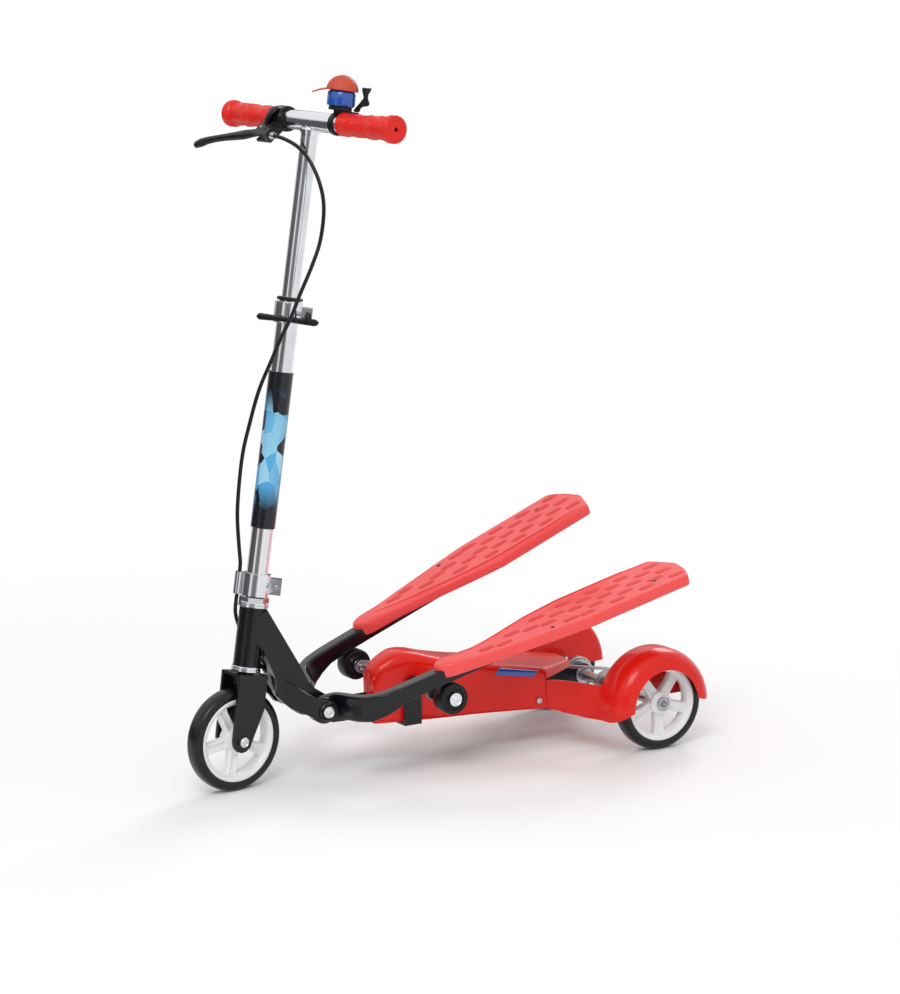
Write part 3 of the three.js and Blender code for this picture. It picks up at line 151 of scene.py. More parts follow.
class ShaderTree:
    # Adds nodes: a node's settings are set first, then its inputs get values or links.
    def __init__(self, owner):
        owner.use_nodes = True
        self.tree = owner.node_tree
        self.tree.nodes.clear()

    def node(self, kind, settings, inputs):
        made = self.tree.nodes.new(kind)
        for key, setting in settings.items():
            if key == "stops":
                setStops(made, setting)
            else:
                setattr(made, key, setting)
        for key, given in inputs.items():
            self.put(made.inputs[key], given)
        return made

    def put(self, socket, given):
        if isinstance(given, Value):
            self.tree.links.new(given.socket, socket)
        elif isinstance(given, bpy.types.NodeSocket):
            self.tree.links.new(given, socket)
        else:
            socket.default_value = given

    def value(self, kind, settings, inputs, output=0):
        return Value(self, self.node(kind, settings, inputs).outputs[output])

    def dot(self, first, second):
        return self.value("ShaderNodeVectorMath", {"operation": "DOT_PRODUCT"}, {0: first, 1: second}, "Value")


class Paint(ShaderTree):
    # A material round one Principled shader, its patterns laid out in Object coordinates.
    def __init__(self, name, **constants):
        self.material = bpy.data.materials.new(name)
        super().__init__(self.material)
        self.shader = self.node("ShaderNodeBsdfPrincipled", {}, constants)
        output = self.node("ShaderNodeOutputMaterial", {}, {"Surface": self.shader.outputs["BSDF"]})
        output.is_active_output = True
        self.place = self.node("ShaderNodeTexCoord", {}, {}).outputs["Object"]

    def noise(self, scale, detail=3, place=None, roughness=0.5):
        inputs = {"Vector": place or self.place, "Scale": scale, "Detail": detail, "Roughness": roughness}
        return self.value("ShaderNodeTexNoise", {}, inputs)

    def mix(self, factor, first, second):
        inputs = {"Factor": factor, "A": color(first), "B": color(second)}
        return self.node("ShaderNodeMix", {"data_type": "RGBA"}, inputs).outputs["Result"]

    def bump(self, height, strength, distance):
        made = self.node("ShaderNodeBump", {}, {"Strength": strength, "Distance": distance, "Height": height})
        self.put(self.shader.inputs["Normal"], made.outputs["Normal"])

    def feed(self, name, given):
        self.put(self.shader.inputs[name], given)


def color(given):
    # An sRGB colour of three numbers up to 255 as the linear colour that a socket takes.
    if not isinstance(given, tuple):
        return given
    share = [part / 255 for part in given]
    return (*[s / 12.92 if s < 0.04045 else ((s + 0.055) / 1.055) ** 2.4 for s in share], 1)


def mouldedPlastic(name, base, dark, roughness, coat=0.0, grain=0.25, shine=0.5):
    # Faint flow marks in the colour, fine grain in the surface.
    constants = {"Coat Weight": coat, "Coat Roughness": 0.06, "IOR": 1.47, "Specular IOR Level": shine}
    paint = Paint(name, **constants)
    flow = paint.noise(9, 4)
    paint.feed("Base Color", paint.mix(flow.above(0.5, 0.35), base, dark))
    paint.feed("Roughness", paint.noise(240, 2) * 0.12 + (roughness - 0.06))
    paint.bump(paint.noise(1400, 2), grain, 0.0002)
    return paint.material


def powderCoat(name, base, dark):
    # Fine specks all over and a few worn scuffs, which are paler and rougher.
    constants = {"Coat Weight": 0.4, "Coat Roughness": 0.14, "IOR": 1.5, "Specular IOR Level": 0.2}
    paint = Paint(name, **constants)
    speck = paint.noise(900, 2)
    scuff = paint.noise(26, 6, roughness=0.7).above(0.66, 0.05)
    paint.feed("Base Color", paint.mix(scuff * 0.35, base, dark))
    paint.feed("Roughness", speck * 0.1 + scuff * 0.2 + 0.27)
    paint.bump(speck, 0.25, 0.0003)
    return paint.material


def polishedMetal(name, base, roughness, along):
    # Long fine polishing lines along one direction, and dull patches.
    paint = Paint(name, **{"Metallic": 1.0})
    stretch = paint.node("ShaderNodeMapping", {}, {"Vector": paint.place, "Scale": along})
    lines = paint.noise(60, 3, place=stretch.outputs["Vector"])
    dull = paint.noise(18, 4)
    paint.feed("Base Color", paint.mix(dull.above(0.6, 0.2) * 0.5, base, tuple(part * 0.86 for part in base)))
    paint.feed("Roughness", lines * 0.12 + dull * 0.06 + (roughness - 0.08))
    paint.bump(lines, 0.05, 0.0003)
    return paint.material


def rubber(name, base, dusty, roughness, coat=0.0, shine=0.5):
    # Dusty patches over the base colour, with a fine grain.
    constants = {"Coat Weight": coat, "Coat Roughness": 0.18, "IOR": 1.45, "Specular IOR Level": shine}
    paint = Paint(name, **constants)
    dust = paint.noise(22, 5, roughness=0.65)
    paint.feed("Base Color", paint.mix(dust.above(0.62, 0.15) * 0.6, base, dusty))
    paint.feed("Roughness", dust * 0.2 + (roughness - 0.1))
    paint.bump(paint.noise(1800, 2), 0.2, 0.0002)
    return paint.material


def wheelWhite():
    # White moulding with soft patches of a little grey and fine scattered scuffs.
    paint = Paint("wheelWhite", **{"Coat Weight": 0.25, "Coat Roughness": 0.15})
    soft = paint.noise(16, 3)
    scuff = paint.noise(140, 5, roughness=0.75).above(0.68, 0.04)
    base = paint.mix(soft.above(0.5, 0.3), (240, 240, 240), (229, 230, 232))
    paint.feed("Base Color", paint.mix(scuff * 0.4, base, (188, 189, 190)))
    paint.feed("Roughness", scuff * 0.2 + soft * 0.1 + 0.32)
    paint.bump(paint.noise(900, 2), 0.15, 0.0002)
    return paint.material


sleeveDesign = {
    "low": 283 * mm, "high": 479 * mm, "fadeEdge": 0.62, "fadeSoft": 0.22, "frontAngle": 2.3,
    "facetScale": 1.6, "facetsUp": 26, "facetsRound": 0.5,
    "ground": (20, 23, 30), "ice": (176, 226, 240), "sky": (64, 160, 214), "deep": (24, 66, 122),
}


def sleeveFilm():
    # A dark film with a field of plain facets, in cool blues, that fades out at both ends.
    design = sleeveDesign
    constants = {"Coat Weight": 0.3, "Coat Roughness": 0.12, "Roughness": 0.35, "Specular IOR Level": 0.3}
    paint = Paint("sleeveFilm", **constants)
    across, around, up = (
        paint.dot(paint.place, tuple(axis)) - float(np.dot(axis, column["origin"])) for axis in column["axes"]
    )
    angle = around.math("ARCTAN2", across)
    spread = {"X": angle * design["facetsRound"], "Y": up * design["facetsUp"], "Z": angle.math("COSINE") * 0.4}
    spread = paint.node("ShaderNodeCombineXYZ", {}, spread).outputs["Vector"]
    facets = {"Vector": spread, "Scale": design["facetScale"], "Randomness": 0.9}
    facets = paint.node("ShaderNodeTexVoronoi", {"feature": "F1"}, facets).outputs["Color"]
    shade = paint.value("ShaderNodeSeparateColor", {}, {"Color": facets}, "Red")
    stops = [(place, color(design[key])[:3]) for place, key in ((0, "deep"), (0.5, "sky"), (1, "ice"))]
    blues = paint.node("ShaderNodeValToRGB", {"stops": stops}, {"Fac": shade}).outputs["Color"]
    middle = (design["low"] + design["high"]) / 2
    reach = (design["high"] - design["low"]) / 2
    fade = 1 - (up - middle).math("ABSOLUTE").above(reach * design["fadeEdge"], reach * design["fadeSoft"])
    front = (angle + design["frontAngle"]).math("COSINE").above(0.15, 0.3)
    field = (fade * front).math("MINIMUM", shade.above(0.28, 0.02))
    paint.feed("Base Color", paint.mix(field, design["ground"], blues))
    paint.feed("Roughness", field * 0.1 + paint.noise(200, 2) * 0.08 + 0.24)
    paint.bump(paint.noise(700, 2), 0.1, 0.0002)
    return paint.material


columnStretch = (3, 3, 0.25)
acrossStretch = (2, 0.3, 2)
materials = {
    "red_gloss": mouldedPlastic("redGloss", (230, 30, 18), (216, 25, 15), 0.3, coat=0.3, grain=0.1, shine=0.2),
    "deck_red": mouldedPlastic("deckRed", (246, 84, 84), (240, 74, 72), 0.42, coat=0.15, grain=0.5, shine=0.4),
    "grip_red": rubber("gripRed", (226, 34, 24), (228, 52, 38), 0.38, coat=0.12, shine=0.3),
    "black_paint": powderCoat("blackPaint", (13, 13, 18), (25, 25, 30)),
    "black_plastic": mouldedPlastic(
        "blackPlastic", (14, 14, 15), (20, 20, 21), 0.4, coat=0.15, grain=0.45, shine=0.25,
    ),
    "tyre_black": rubber("tyreBlack", (10, 10, 11), (21, 21, 21), 0.4, coat=0.45, shine=0.2),
    "roller_black": rubber("rollerBlack", (12, 12, 13), (22, 22, 22), 0.5, coat=0.2, shine=0.25),
    "chrome": polishedMetal("chrome", (228, 230, 234), 0.13, columnStretch),
    "steel": polishedMetal("steel", (190, 192, 196), 0.32, acrossStretch),
    "white_plastic": wheelWhite(),
    "blue_gloss": mouldedPlastic("blueGloss", (14, 92, 196), (8, 66, 150), 0.2, coat=0.9, grain=0.05),
    "cap_orange": mouldedPlastic("capOrange", (206, 88, 66), (190, 74, 56), 0.5, grain=0.2, shine=0.25),
    "sleeve_print": sleeveFilm(),
}
print("materials", len(materials))


# Mesh helpers
def addPiece(name, points, faces, slotName, body, replaced=(), smoothAngle=40):
    # A mesh of its own in the scene, its points given in the scene's frame.
    mesh = bpy.data.meshes.new(name)
    mesh.from_pydata([tuple(point) for point in points], [], [tuple(face) for face in faces])
    mesh.validate()
    mesh.update()
    piece = bpy.data.objects.new(name, mesh)
    bpy.context.scene.collection.objects.link(piece)
    return finishPiece(piece, slotName, body, replaced, smoothAngle)


def finishPiece(piece, slotName, body, replaced, smoothAngle):
    # Its material, its smooth and sharp edges, and what it stands for in the frame.
    mesh = piece.data
    mesh.materials.clear()
    mesh.materials.append(materials[slotName])
    mesh.shade_smooth()
    mesh.set_sharp_from_angle(angle=math.radians(smoothAngle))
    if body:
        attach(piece, body)
    if replaced:
        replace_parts(piece, *replaced)
    return piece


def gridFaces(rows, columns, wrapRows=False, wrapColumns=False):
    # Quads between neighbours of a rows x columns grid, numbered row by row.
    lastRow = rows if wrapRows else rows - 1
    lastColumn = columns if wrapColumns else columns - 1
    i, j = np.meshgrid(np.arange(lastRow), np.arange(lastColumn), indexing="ij")
    below, beside = (i + 1) % rows, (j + 1) % columns
    quads = np.stack([i * columns + j, i * columns + beside, below * columns + beside, below * columns + j], -1)
    return quads.reshape(-1, 4).tolist()


def closedGrid(grid):
    # A grid that wraps along its columns, with each end row closed by a fan round its middle.
    rows, columns = grid.shape[:2]
    points = np.vstack([grid.reshape(-1, 3), grid[0].mean(0), grid[-1].mean(0)])
    faces = gridFaces(rows, columns, wrapColumns=True)
    first, last = rows * columns, rows * columns + 1
    j = np.arange(columns)
    after = (j + 1) % columns
    faces += np.stack([np.full(columns, first), after, j], -1).tolist()
    end = (rows - 1) * columns
    faces += np.stack([np.full(columns, last), end + j, end + after], -1).tolist()
    return points, faces


def turnedGrid(profile, steps):
    # Each profile point (radius, along) swept round: (r cos t, along, r sin t).
    profile = np.asarray(profile, float)
    t = np.linspace(0, 2 * math.pi, steps, endpoint=False)
    radius, along = profile[:, 0][:, None], profile[:, 1][:, None]
    return np.stack([radius * np.cos(t), along + 0 * t, radius * np.sin(t)], -1)


def turnedRing(profile, steps):
    # A closed profile swept round its axis.
    grid = turnedGrid(profile, steps)
    return grid.reshape(-1, 3), gridFaces(len(profile), steps, True, True)


def turnedSolid(profile, steps):
    # A profile that starts and ends near the axis, with its ends closed.
    return closedGrid(turnedGrid(profile, steps))


def joined(parts):
    # Several shapes as one, the later ones' vertex numbers moved up.
    points, faces, count = [], [], 0
    for partPoints, partFaces in parts:
        points.append(partPoints)
        faces += [[index + count for index in face] for face in partFaces]
        count += len(partPoints)
    return np.vstack(points), faces


def outward(piece):
    # Faces turned so that they all look out of the closed shape.
    mesh = piece.data
    shape = bmesh.new()
    shape.from_mesh(mesh)
    bmesh.ops.recalc_face_normals(shape, faces=shape.faces)
    shape.to_mesh(mesh)
    shape.free()
    return piece


def addSolid(name, shape, place, slotName, body, replaced=(), smoothAngle=40):
    # A closed shape, drawn in a frame, as a piece that looks outwards.
    points, faces = shape
    return outward(addPiece(name, placed(points, place), faces, slotName, body, replaced, smoothAngle))


def facing(points, faces, index, way):
    # Faces turned over if the one at an index looks against the given way.
    a, b, c = (points[corner] for corner in faces[index][:3])
    return faces if np.dot(np.cross(b - a, c - a), way) >= 0 else [face[::-1] for face in faces]


def squared(t, widePower, tallPower=None):
    # Cosine and sine that keep their sign and take a power: below 1 a circle turns towards a box.
    wide, tall = np.cos(t), np.sin(t)
    return np.sign(wide) * np.abs(wide) ** widePower, np.sign(tall) * np.abs(tall) ** (tallPower or widePower)


def turnedBy(points, angle):
    # Points turned about their third axis, which takes the first axis to an angle.
    turn = [[math.cos(angle), math.sin(angle), 0], [-math.sin(angle), math.cos(angle), 0], [0, 0, 1]]
    return points @ np.array(turn)


def unitSlopes(path):
    # The direction of a path at each of its points: the difference of the neighbours, of length 1.
    along = np.gradient(path, axis=0)
    return along / np.linalg.norm(along, axis=1)[:, None]


def carriedFlat(route, half, middle, tall, section):
    # A section of (across, up) carried along a flat route: aside by half * across, up by middle + tall * up.
    across, up = section
    along = unitSlopes(route)
    aside = np.stack([-along[:, 1], along[:, 0]], -1)
    flat = route[:, None, :] + half[:, None, None] * across[None, :, None] * aside[:, None, :]
    upright = np.reshape(middle, (-1, 1)) + tall[:, None] * up[None, :]
    return closedGrid(np.concatenate([flat, upright[..., None]], -1))


def tubeGrid(path, radii, steps, up=(0, 0, 1)):
    # A circle, or an ellipse of two radii, carried along a path square to it.
    path = np.asarray(path, float)
    along = unitSlopes(path)
    first = np.cross(along, np.asarray(up, float))
    first /= np.linalg.norm(first, axis=1)[:, None]
    second = np.cross(first, along)
    t = np.linspace(0, 2 * math.pi, steps, endpoint=False)
    radii = np.broadcast_to(np.asarray(radii, float), (len(path), 2))
    wide = radii[:, 0][:, None, None] * np.cos(t)[None, :, None] * first[:, None, :]
    tall = radii[:, 1][:, None, None] * np.sin(t)[None, :, None] * second[:, None, :]
    return path[:, None, :] + wide + tall


def curveThrough(points, steps):
    # A smooth curve through points: cubic pieces whose slopes follow the neighbours' chord.
    points = np.asarray(points, float)
    chord = np.sqrt(np.linalg.norm(np.diff(points, axis=0), axis=1))
    knots = np.concatenate([[0], np.cumsum(chord)])
    slopes = np.gradient(points, knots, axis=0)
    at = np.linspace(0, knots[-1], steps)
    i = np.clip(np.searchsorted(knots, at, side="right") - 1, 0, len(points) - 2)
    span = (knots[i + 1] - knots[i])[:, None]
    s = ((at - knots[i])[:, None]) / span
    start, end = points[i], points[i + 1]
    return (
        (2 * s**3 - 3 * s**2 + 1) * start
        + (s**3 - 2 * s**2 + s) * span * slopes[i]
        + (3 * s**2 - 2 * s**3) * end
        + (s**3 - s**2) * span * slopes[i + 1]
    )


def softened(name, bevel, smoothAngle=38):
    # A CAD node's own shape, merged, with its edges rounded over.
    mesh = nodes[name].data.copy()
    shape = bmesh.new()
    shape.from_mesh(mesh)
    bmesh.ops.remove_doubles(shape, verts=shape.verts, dist=1e-5)
    bmesh.ops.dissolve_limit(shape, angle_limit=math.radians(0.6), verts=shape.verts, edges=shape.edges)
    shape.to_mesh(mesh)
    shape.free()
    piece = bpy.data.objects.new(name + "_finished", mesh)
    bpy.context.scene.collection.objects.link(piece)
    finishPiece(piece, slotOf[name], bodyOf[name], (name,), smoothAngle)
    addBevel(piece, bevel, smoothAngle)
    return piece


def addBevel(piece, width, angle):
    # Rounds the edges that are sharper than an angle in degrees.
    edge = piece.modifiers.new("edge", "BEVEL")
    edge.width = width
    edge.segments = 2
    edge.limit_method = "ANGLE"
    edge.angle_limit = math.radians(angle)
    edge.harden_normals = True


# Camera and studio: the place and aim are in the frame on the ground under the front wheel, the roll in degrees
camera = {
    "place": (-1643.9 * mm, -3497.3 * mm, 1086.2 * mm),
    "aim": (331.67 * mm, 0, 353.02 * mm),
    "roll": -1.13,
    "focalPixels": 3047.09,
    "pictureHeight": 994,
    "sensor": 36,
}


def addCamera():
    # It looks from its place to its aim, rolled about that line; the lens gives the focal length in pixels.
    data = bpy.data.cameras.new("camera")
    data.sensor_width = camera["sensor"]
    data.lens = camera["focalPixels"] * camera["sensor"] / camera["pictureHeight"]
    data.clip_end = 50
    eye = bpy.data.objects.new("camera", data)
    bpy.context.scene.collection.objects.link(eye)
    place = Vector(placed(camera["place"], ground))
    aim = Vector(placed(camera["aim"], ground))
    back = (place - aim).normalized()
    right = Vector((0, 0, 1)).cross(back).normalized()
    up = back.cross(right)
    roll = math.radians(camera["roll"])
    right, up = right * math.cos(roll) + up * math.sin(roll), up * math.cos(roll) - right * math.sin(roll)
    turn = Matrix((right, up, back)).transposed().to_4x4()
    eye.matrix_world = Matrix.Translation(place) @ turn
    bpy.context.scene.camera = eye


studio = {
    "floorHalf": 3,
    "floorShade": 0.99,
    "floorClear": (0.75, 1.55),
    "worldShare": 0.66,
    "darkShare": 0.06,
    "brightShare": 1.0,
    "sky": (0.12, 0.4),
    "panelWay": (0.87, -0.49, 0.0),
    "panel": [
        (0, 0.04), (0.1, 0.06), (0.13, 0.9), (0.21, 0.9), (0.25, 0.22), (0.5, 0.1), (0.55, 0.3), (0.66, 1),
        (1, 0.9),
    ],
    "key": {"place": (-1.9, -2.4, 3.1), "size": 1.8, "power": 62},
    "rim": {"place": (2.2, 1.6, 2.2), "size": 1.2, "power": 26},
    "lampAim": (0, 0, 0.35),
}


def addLamp(name):
    # A square lamp that looks at the middle of the scooter.
    given = studio[name]
    data = bpy.data.lights.new(name, "AREA")
    data.size = given["size"]
    data.energy = given["power"]
    lamp = bpy.data.objects.new(name, data)
    bpy.context.scene.collection.objects.link(lamp)
    lamp.location = given["place"]
    aim = Vector(studio["lampAim"]) - lamp.location
    lamp.rotation_euler = aim.to_track_quat("-Z", "Y").to_euler()


def addWorld():
    # White where the camera looks; polished faces see a bright sky and a bright panel beside dark walls.
    world = bpy.data.worlds.new("studio")
    bpy.context.scene.world = world
    work = ShaderTree(world)
    rays = work.node("ShaderNodeLightPath", {}, {}).outputs
    way = work.node("ShaderNodeTexCoord", {}, {}).outputs["Generated"]
    low, high = studio["sky"]
    sky = work.dot(way, (0, 0, 1)).above((low + high) / 2, (high - low) / 2)
    stops = [(place, (shade, shade, shade)) for place, shade in studio["panel"]]
    aside = work.dot(way, studio["panelWay"]) * 0.5 + 0.5
    panel = work.node("ShaderNodeValToRGB", {"stops": stops}, {"Fac": aside}).outputs["Color"]
    dark, share = studio["darkShare"], studio["worldShare"]
    glossy = sky.math("MAXIMUM", panel) * (studio["brightShare"] - dark) + dark
    seen = Value(work, rays["Is Camera Ray"]).math("MAXIMUM", rays["Is Transmission Ray"])
    strength = (glossy - share) * rays["Is Glossy Ray"] + seen * (1 - share) + share
    light = work.node("ShaderNodeBackground", {}, {"Strength": strength, "Color": (1, 1, 1, 1)})
    work.node("ShaderNodeOutputWorld", {}, {"Surface": light.outputs["Background"]})


def addFloor():
    # The floor clears away with distance, so that it meets the white behind it without an edge.
    half = studio["floorHalf"]
    mesh = bpy.data.meshes.new("floor")
    corners = [(-half, -half, 0), (half, -half, 0), (half, half, 0), (-half, half, 0)]
    mesh.from_pydata(corners, [], [(0, 1, 2, 3)])
    floor = bpy.data.objects.new("floor", mesh)
    bpy.context.scene.collection.objects.link(floor)
    shade = studio["floorShade"]
    constants = {"Roughness": 0.9, "Specular IOR Level": 0.0, "Base Color": (shade, shade, shade, 1)}
    paint = Paint("floorPaint", **constants)
    length = paint.value("ShaderNodeVectorMath", {"operation": "LENGTH"}, {0: paint.place}, "Value")
    near, far = studio["floorClear"]
    paint.feed("Alpha", 1 - length.above((near + far) / 2, (far - near) / 2))
    mesh.materials.append(paint.material)


addCamera()
bpy.context.scene.view_settings.view_transform = "Standard"
addWorld()
addFloor()
addLamp("key")
addLamp("rim")
print("camera and studio")


# Tyres: the section is a superellipse from bead to bead, with a fine moulding line on each wall.
tyre = {
    "width": 12.6 * mm, "wall": 12.7 * mm, "bead": 1.4 * mm, "square": 2.7, "crown": 0.72,
    "line": 0.25 * mm, "lineAt": 0.72, "lineHalf": 0.05, "steps": 96,
}


def tyreShape(radius):
    # Radius and width follow the cosine and sine of a to the power of 2 / square; the beads close the section.
    seat = radius - tyre["wall"]
    a = np.linspace(-math.pi / 2, math.pi / 2, 41)
    out, aside = squared(a, 2 / tyre["square"])
    depth = tyre["wall"] * tyre["crown"]
    moulding = tyre["line"] * (np.abs(np.abs(a) - tyre["lineAt"]) < tyre["lineHalf"])
    section = np.stack([radius - depth + depth * out - moulding, tyre["width"] * aside], -1)
    beads = [(seat, tyre["width"] - tyre["bead"]), (seat, tyre["bead"] - tyre["width"])]
    return turnedRing(np.vstack([section, beads]), tyre["steps"])


# Rims: a ring with rolled lips, a hub and dished spokes that widen into both, each with a raised border.
rim = {
    "depth": 8 * mm, "lip": 1.3 * mm, "hub": 16 * mm, "hubHalf": 13.6 * mm, "bore": 5.4 * mm,
    "frontBore": 4.3 * mm, "spokes": 5, "half": 7.4 * mm, "flare": 5.5 * mm, "thick": 7.2 * mm,
    "groove": 2.6 * mm, "seat": 0.3 * mm, "bossEdge": 1.6 * mm,
}


def spokeGrid(outer):
    # Across the spoke v goes round a superellipse, along it u widens at both ends as u^4.
    start, end = rim["hub"] - 4 * mm, outer - rim["depth"] + 3 * mm
    u = np.linspace(0, 1, 26)[:, None]
    v = np.linspace(0, 2 * math.pi, 40, endpoint=False)[None, :]
    half = rim["half"] + rim["flare"] * ((2 * u - 1) ** 4) * (0.35 + 0.65 * u)
    across, thick = squared(v, 0.7, 0.55)
    hollow = np.clip(1 - (np.abs(across) / 0.62) ** 4, 0, 1) * rim["groove"]
    hollow = hollow * np.clip(np.sin(math.pi * u) * 3, 0, 1)
    dish = rim["thick"] - np.abs(thick) ** 3 * hollow
    return np.stack([start + (end - start) * u + 0 * v, thick * dish, half * across], -1)


def rimShape(radius, bore):
    # The ring's and the hub's sections are turned; the spokes are copies turned by equal steps.
    outer = radius - tyre["wall"] - rim["seat"]
    edge = tyre["width"] - tyre["bead"]
    inner = outer - rim["depth"]
    lip, hub, half, bossEdge = (rim[key] for key in ("lip", "hub", "hubHalf", "bossEdge"))
    halfSection = [
        (outer, edge), (outer - lip, edge + 0.7 * mm), (outer - 2.6 * lip, edge + 0.3 * mm),
        (inner + 1.5 * lip, edge - 1.6 * mm), (inner, edge - 4 * mm),
    ]
    section = halfSection + [(inner - 0.8 * mm, 0)] + [(r, -along) for r, along in halfSection[::-1]]
    halfBoss = [
        (bore, half), (hub - 5 * mm, half), (hub - 4 * mm, half - bossEdge),
        (hub - 1 * mm, half - 2 * bossEdge), (hub, half - 4 * mm),
    ]
    boss = [(r, -along) for r, along in halfBoss] + halfBoss[::-1]
    parts = [turnedRing(section, 96), turnedRing(boss, 64)]
    for k in range(rim["spokes"]):
        a = 2 * math.pi * k / rim["spokes"] + math.pi / 2
        turn = np.array([[math.cos(a), 0, -math.sin(a)], [0, 1, 0], [math.sin(a), 0, math.cos(a)]])
        points, faces = closedGrid(spokeGrid(outer))
        parts.append((points @ turn, faces))
    return joined(parts)


frontPlace = makeFrame(joints["front_wheel"]["pos_m"], columnRear, columnSide, columnUp)
wheels = [("front", "", frontPlace, scooter["frontRadius"], "front_wheel", rim["frontBore"])]
rearHub = 132.8 * mm
for side, sign in sides.items():
    hubPlace = Vector(joints["rear_axle"]["pos_m"]) + Vector((0, sign * rearHub, 0))
    place = makeFrame(hubPlace, (1, 0, 0), (0, 1, 0), (0, 0, 1))
    body = "left_rear_wheel" if side == "left" else "rear_axle"
    wheels.append(("rear", "_" + side, place, scooter["rearRadius"], body, rim["bore"]))
for end, tail, place, radius, body, bore in wheels:
    tyreName, rimName = f"{end}_tyre{tail}", f"{end}_rim{tail}"
    addSolid(f"{end}{tail}_tyre_moulded", tyreShape(radius), place, "tyre_black", body, (tyreName,))
    addSolid(f"{end}{tail}_rim_moulded", rimShape(radius, bore), place, "white_plastic", body, (rimName,), 50)
print("wheels")


# Grips: a turned rubber sleeve with a raised swirl, its height a sum of waves round and along.
grip = {
    "start": 70 * mm, "end": 177.5 * mm, "radius": 14.6 * mm, "waist": 13.9 * mm, "flange": 17.7 * mm,
    "flangeWidth": 11 * mm, "swirl": 0.95 * mm, "hole": 3 * mm, "wall": 3.2 * mm, "bore": 13 * mm, "steps": 96,
}


def gripShape():
    # The radius follows a wavy waist, steps up to the flange by a logistic curve and rounds off at the end.
    length = grip["end"] - grip["start"]
    u = np.linspace(0, 1, 130)
    flangeStart = 1 - grip["flangeWidth"] / length
    body = grip["waist"] + (grip["radius"] - grip["waist"]) * (0.5 + 0.5 * np.cos(u * 3.1 * math.pi))
    body = body + 0.5 * mm * np.exp(-((u / 0.05) ** 2))
    rise = 1 / (1 + np.exp(-(u - flangeStart + 0.012) / 0.006))
    edge = np.clip((1 - u) / 0.022, 0, 1)
    rounding = 1 - 0.12 * (1 - np.sqrt(1 - (1 - edge) ** 2))
    dip = 1 - 0.035 * np.exp(-(((u - flangeStart - 0.045) / 0.008) ** 2))
    radius = (body * (1 - rise) + grip["flange"] * rise * dip) * rounding
    uu = u[:, None]
    tt = np.linspace(0, 2 * math.pi, grip["steps"], endpoint=False)[None, :]
    wave = np.sin(3 * tt + 9 * np.sin(uu * 7) + 2 * np.cos(2 * tt + uu * 17))
    wave = wave + np.sin(2 * tt - uu * 26 + 1.3 * np.sin(3 * tt))
    raised = np.clip(wave - 0.35, 0, 0.6) / 0.6
    band = np.clip((uu - 0.06) / 0.04, 0, 1) * np.clip((flangeStart - 0.05 - uu) / 0.04, 0, 1)
    r = radius[:, None] + grip["swirl"] * raised * band
    outer = np.stack([r * np.cos(tt), grip["start"] + length * uu + 0 * tt, r * np.sin(tt)], -1)
    floor = grip["end"] - grip["wall"]
    inside = [
        (grip["flange"] - 3 * mm, grip["end"]), (grip["hole"], grip["end"]), (grip["hole"], floor),
        (grip["bore"], floor), (grip["bore"], grip["start"]),
    ]
    grid = np.concatenate([outer, turnedGrid(inside, grip["steps"])])
    return grid.reshape(-1, 3), gridFaces(len(grid), grip["steps"], True, True)


for side, sign in sides.items():
    points, faces = gripShape()
    name = f"grip_{side}"
    addSolid(name + "_moulded", (points * (1, sign, 1), faces), bar, "grip_red", "stem", (name,), 60)
print("grips")


# Pedal boards: a moulded tray drawn as one surface round its outline, with a raised inner lip and tread pads.
board = {
    "outline": [
        (135, 105), (142, 95), (152, 88), (200, 86), (259, 75), (310, 62), (357, 52), (513, 56),
        (530, 102), (523, 135), (510, 161.7), (350, 160), (300, 152), (221, 138), (152, 122), (142, 115),
    ],
    "low": 6 * mm, "top": 20.5 * mm, "round": 3.5 * mm, "wall": 2.6 * mm, "roof": 3.2 * mm,
    "rise": 1.5 * mm, "fall": 0.9 * mm, "bead": 1.5 * mm, "steps": 320,
    "ridgeX": [0.15, 0.165, 0.2, 0.25, 0.3, 0.357, 0.45, 0.513],
    "ridgeY": [0.106, 0.104, 0.098, 0.084, 0.069, 0.060, 0.0595, 0.062],
    "middleX": [0.13, 0.3, 0.36, 0.53], "middleY": [0.105, 0.107, 0.106, 0.106],
    "screws": [(303, 139), (473, 134)],
    "screw": [(2.9, 0), (2.9, 0.5), (2.2, 0.9), (0.5, 1)],
}
pad = {
    "half": (12.5 * mm, 5.4 * mm), "height": 0.8 * mm, "sunk": 0.15 * mm, "lines": 13, "first": 0.212,
    "step": 0.0242, "row": 0.0155, "innerGap": 0.011, "outerGap": 0.003,
    "outerX": [0.15, 0.221, 0.3, 0.35, 0.51], "outerY": [0.118, 0.132, 0.146, 0.153, 0.155],
}


def outlineAt(steps):
    # Points at even steps round the outline, its corners eased by averaging neighbours.
    shape = np.array(board["outline"]) * mm
    loop = np.vstack([shape, shape[:1]])
    run = np.concatenate([[0], np.cumsum(np.linalg.norm(np.diff(loop, axis=0), axis=1))])
    at = np.linspace(0, run[-1], steps, endpoint=False)
    points = np.stack([np.interp(at, run, loop[:, k]) for k in (0, 1)], -1)
    for _ in range(3):
        points = points * 0.5 + (np.roll(points, 1, 0) + np.roll(points, -1, 0)) * 0.25
    return points


def ridgeAt(x):
    # Where the ridge stands aside at x, by straight pieces.
    return np.interp(x, board["ridgeX"], board["ridgeY"])


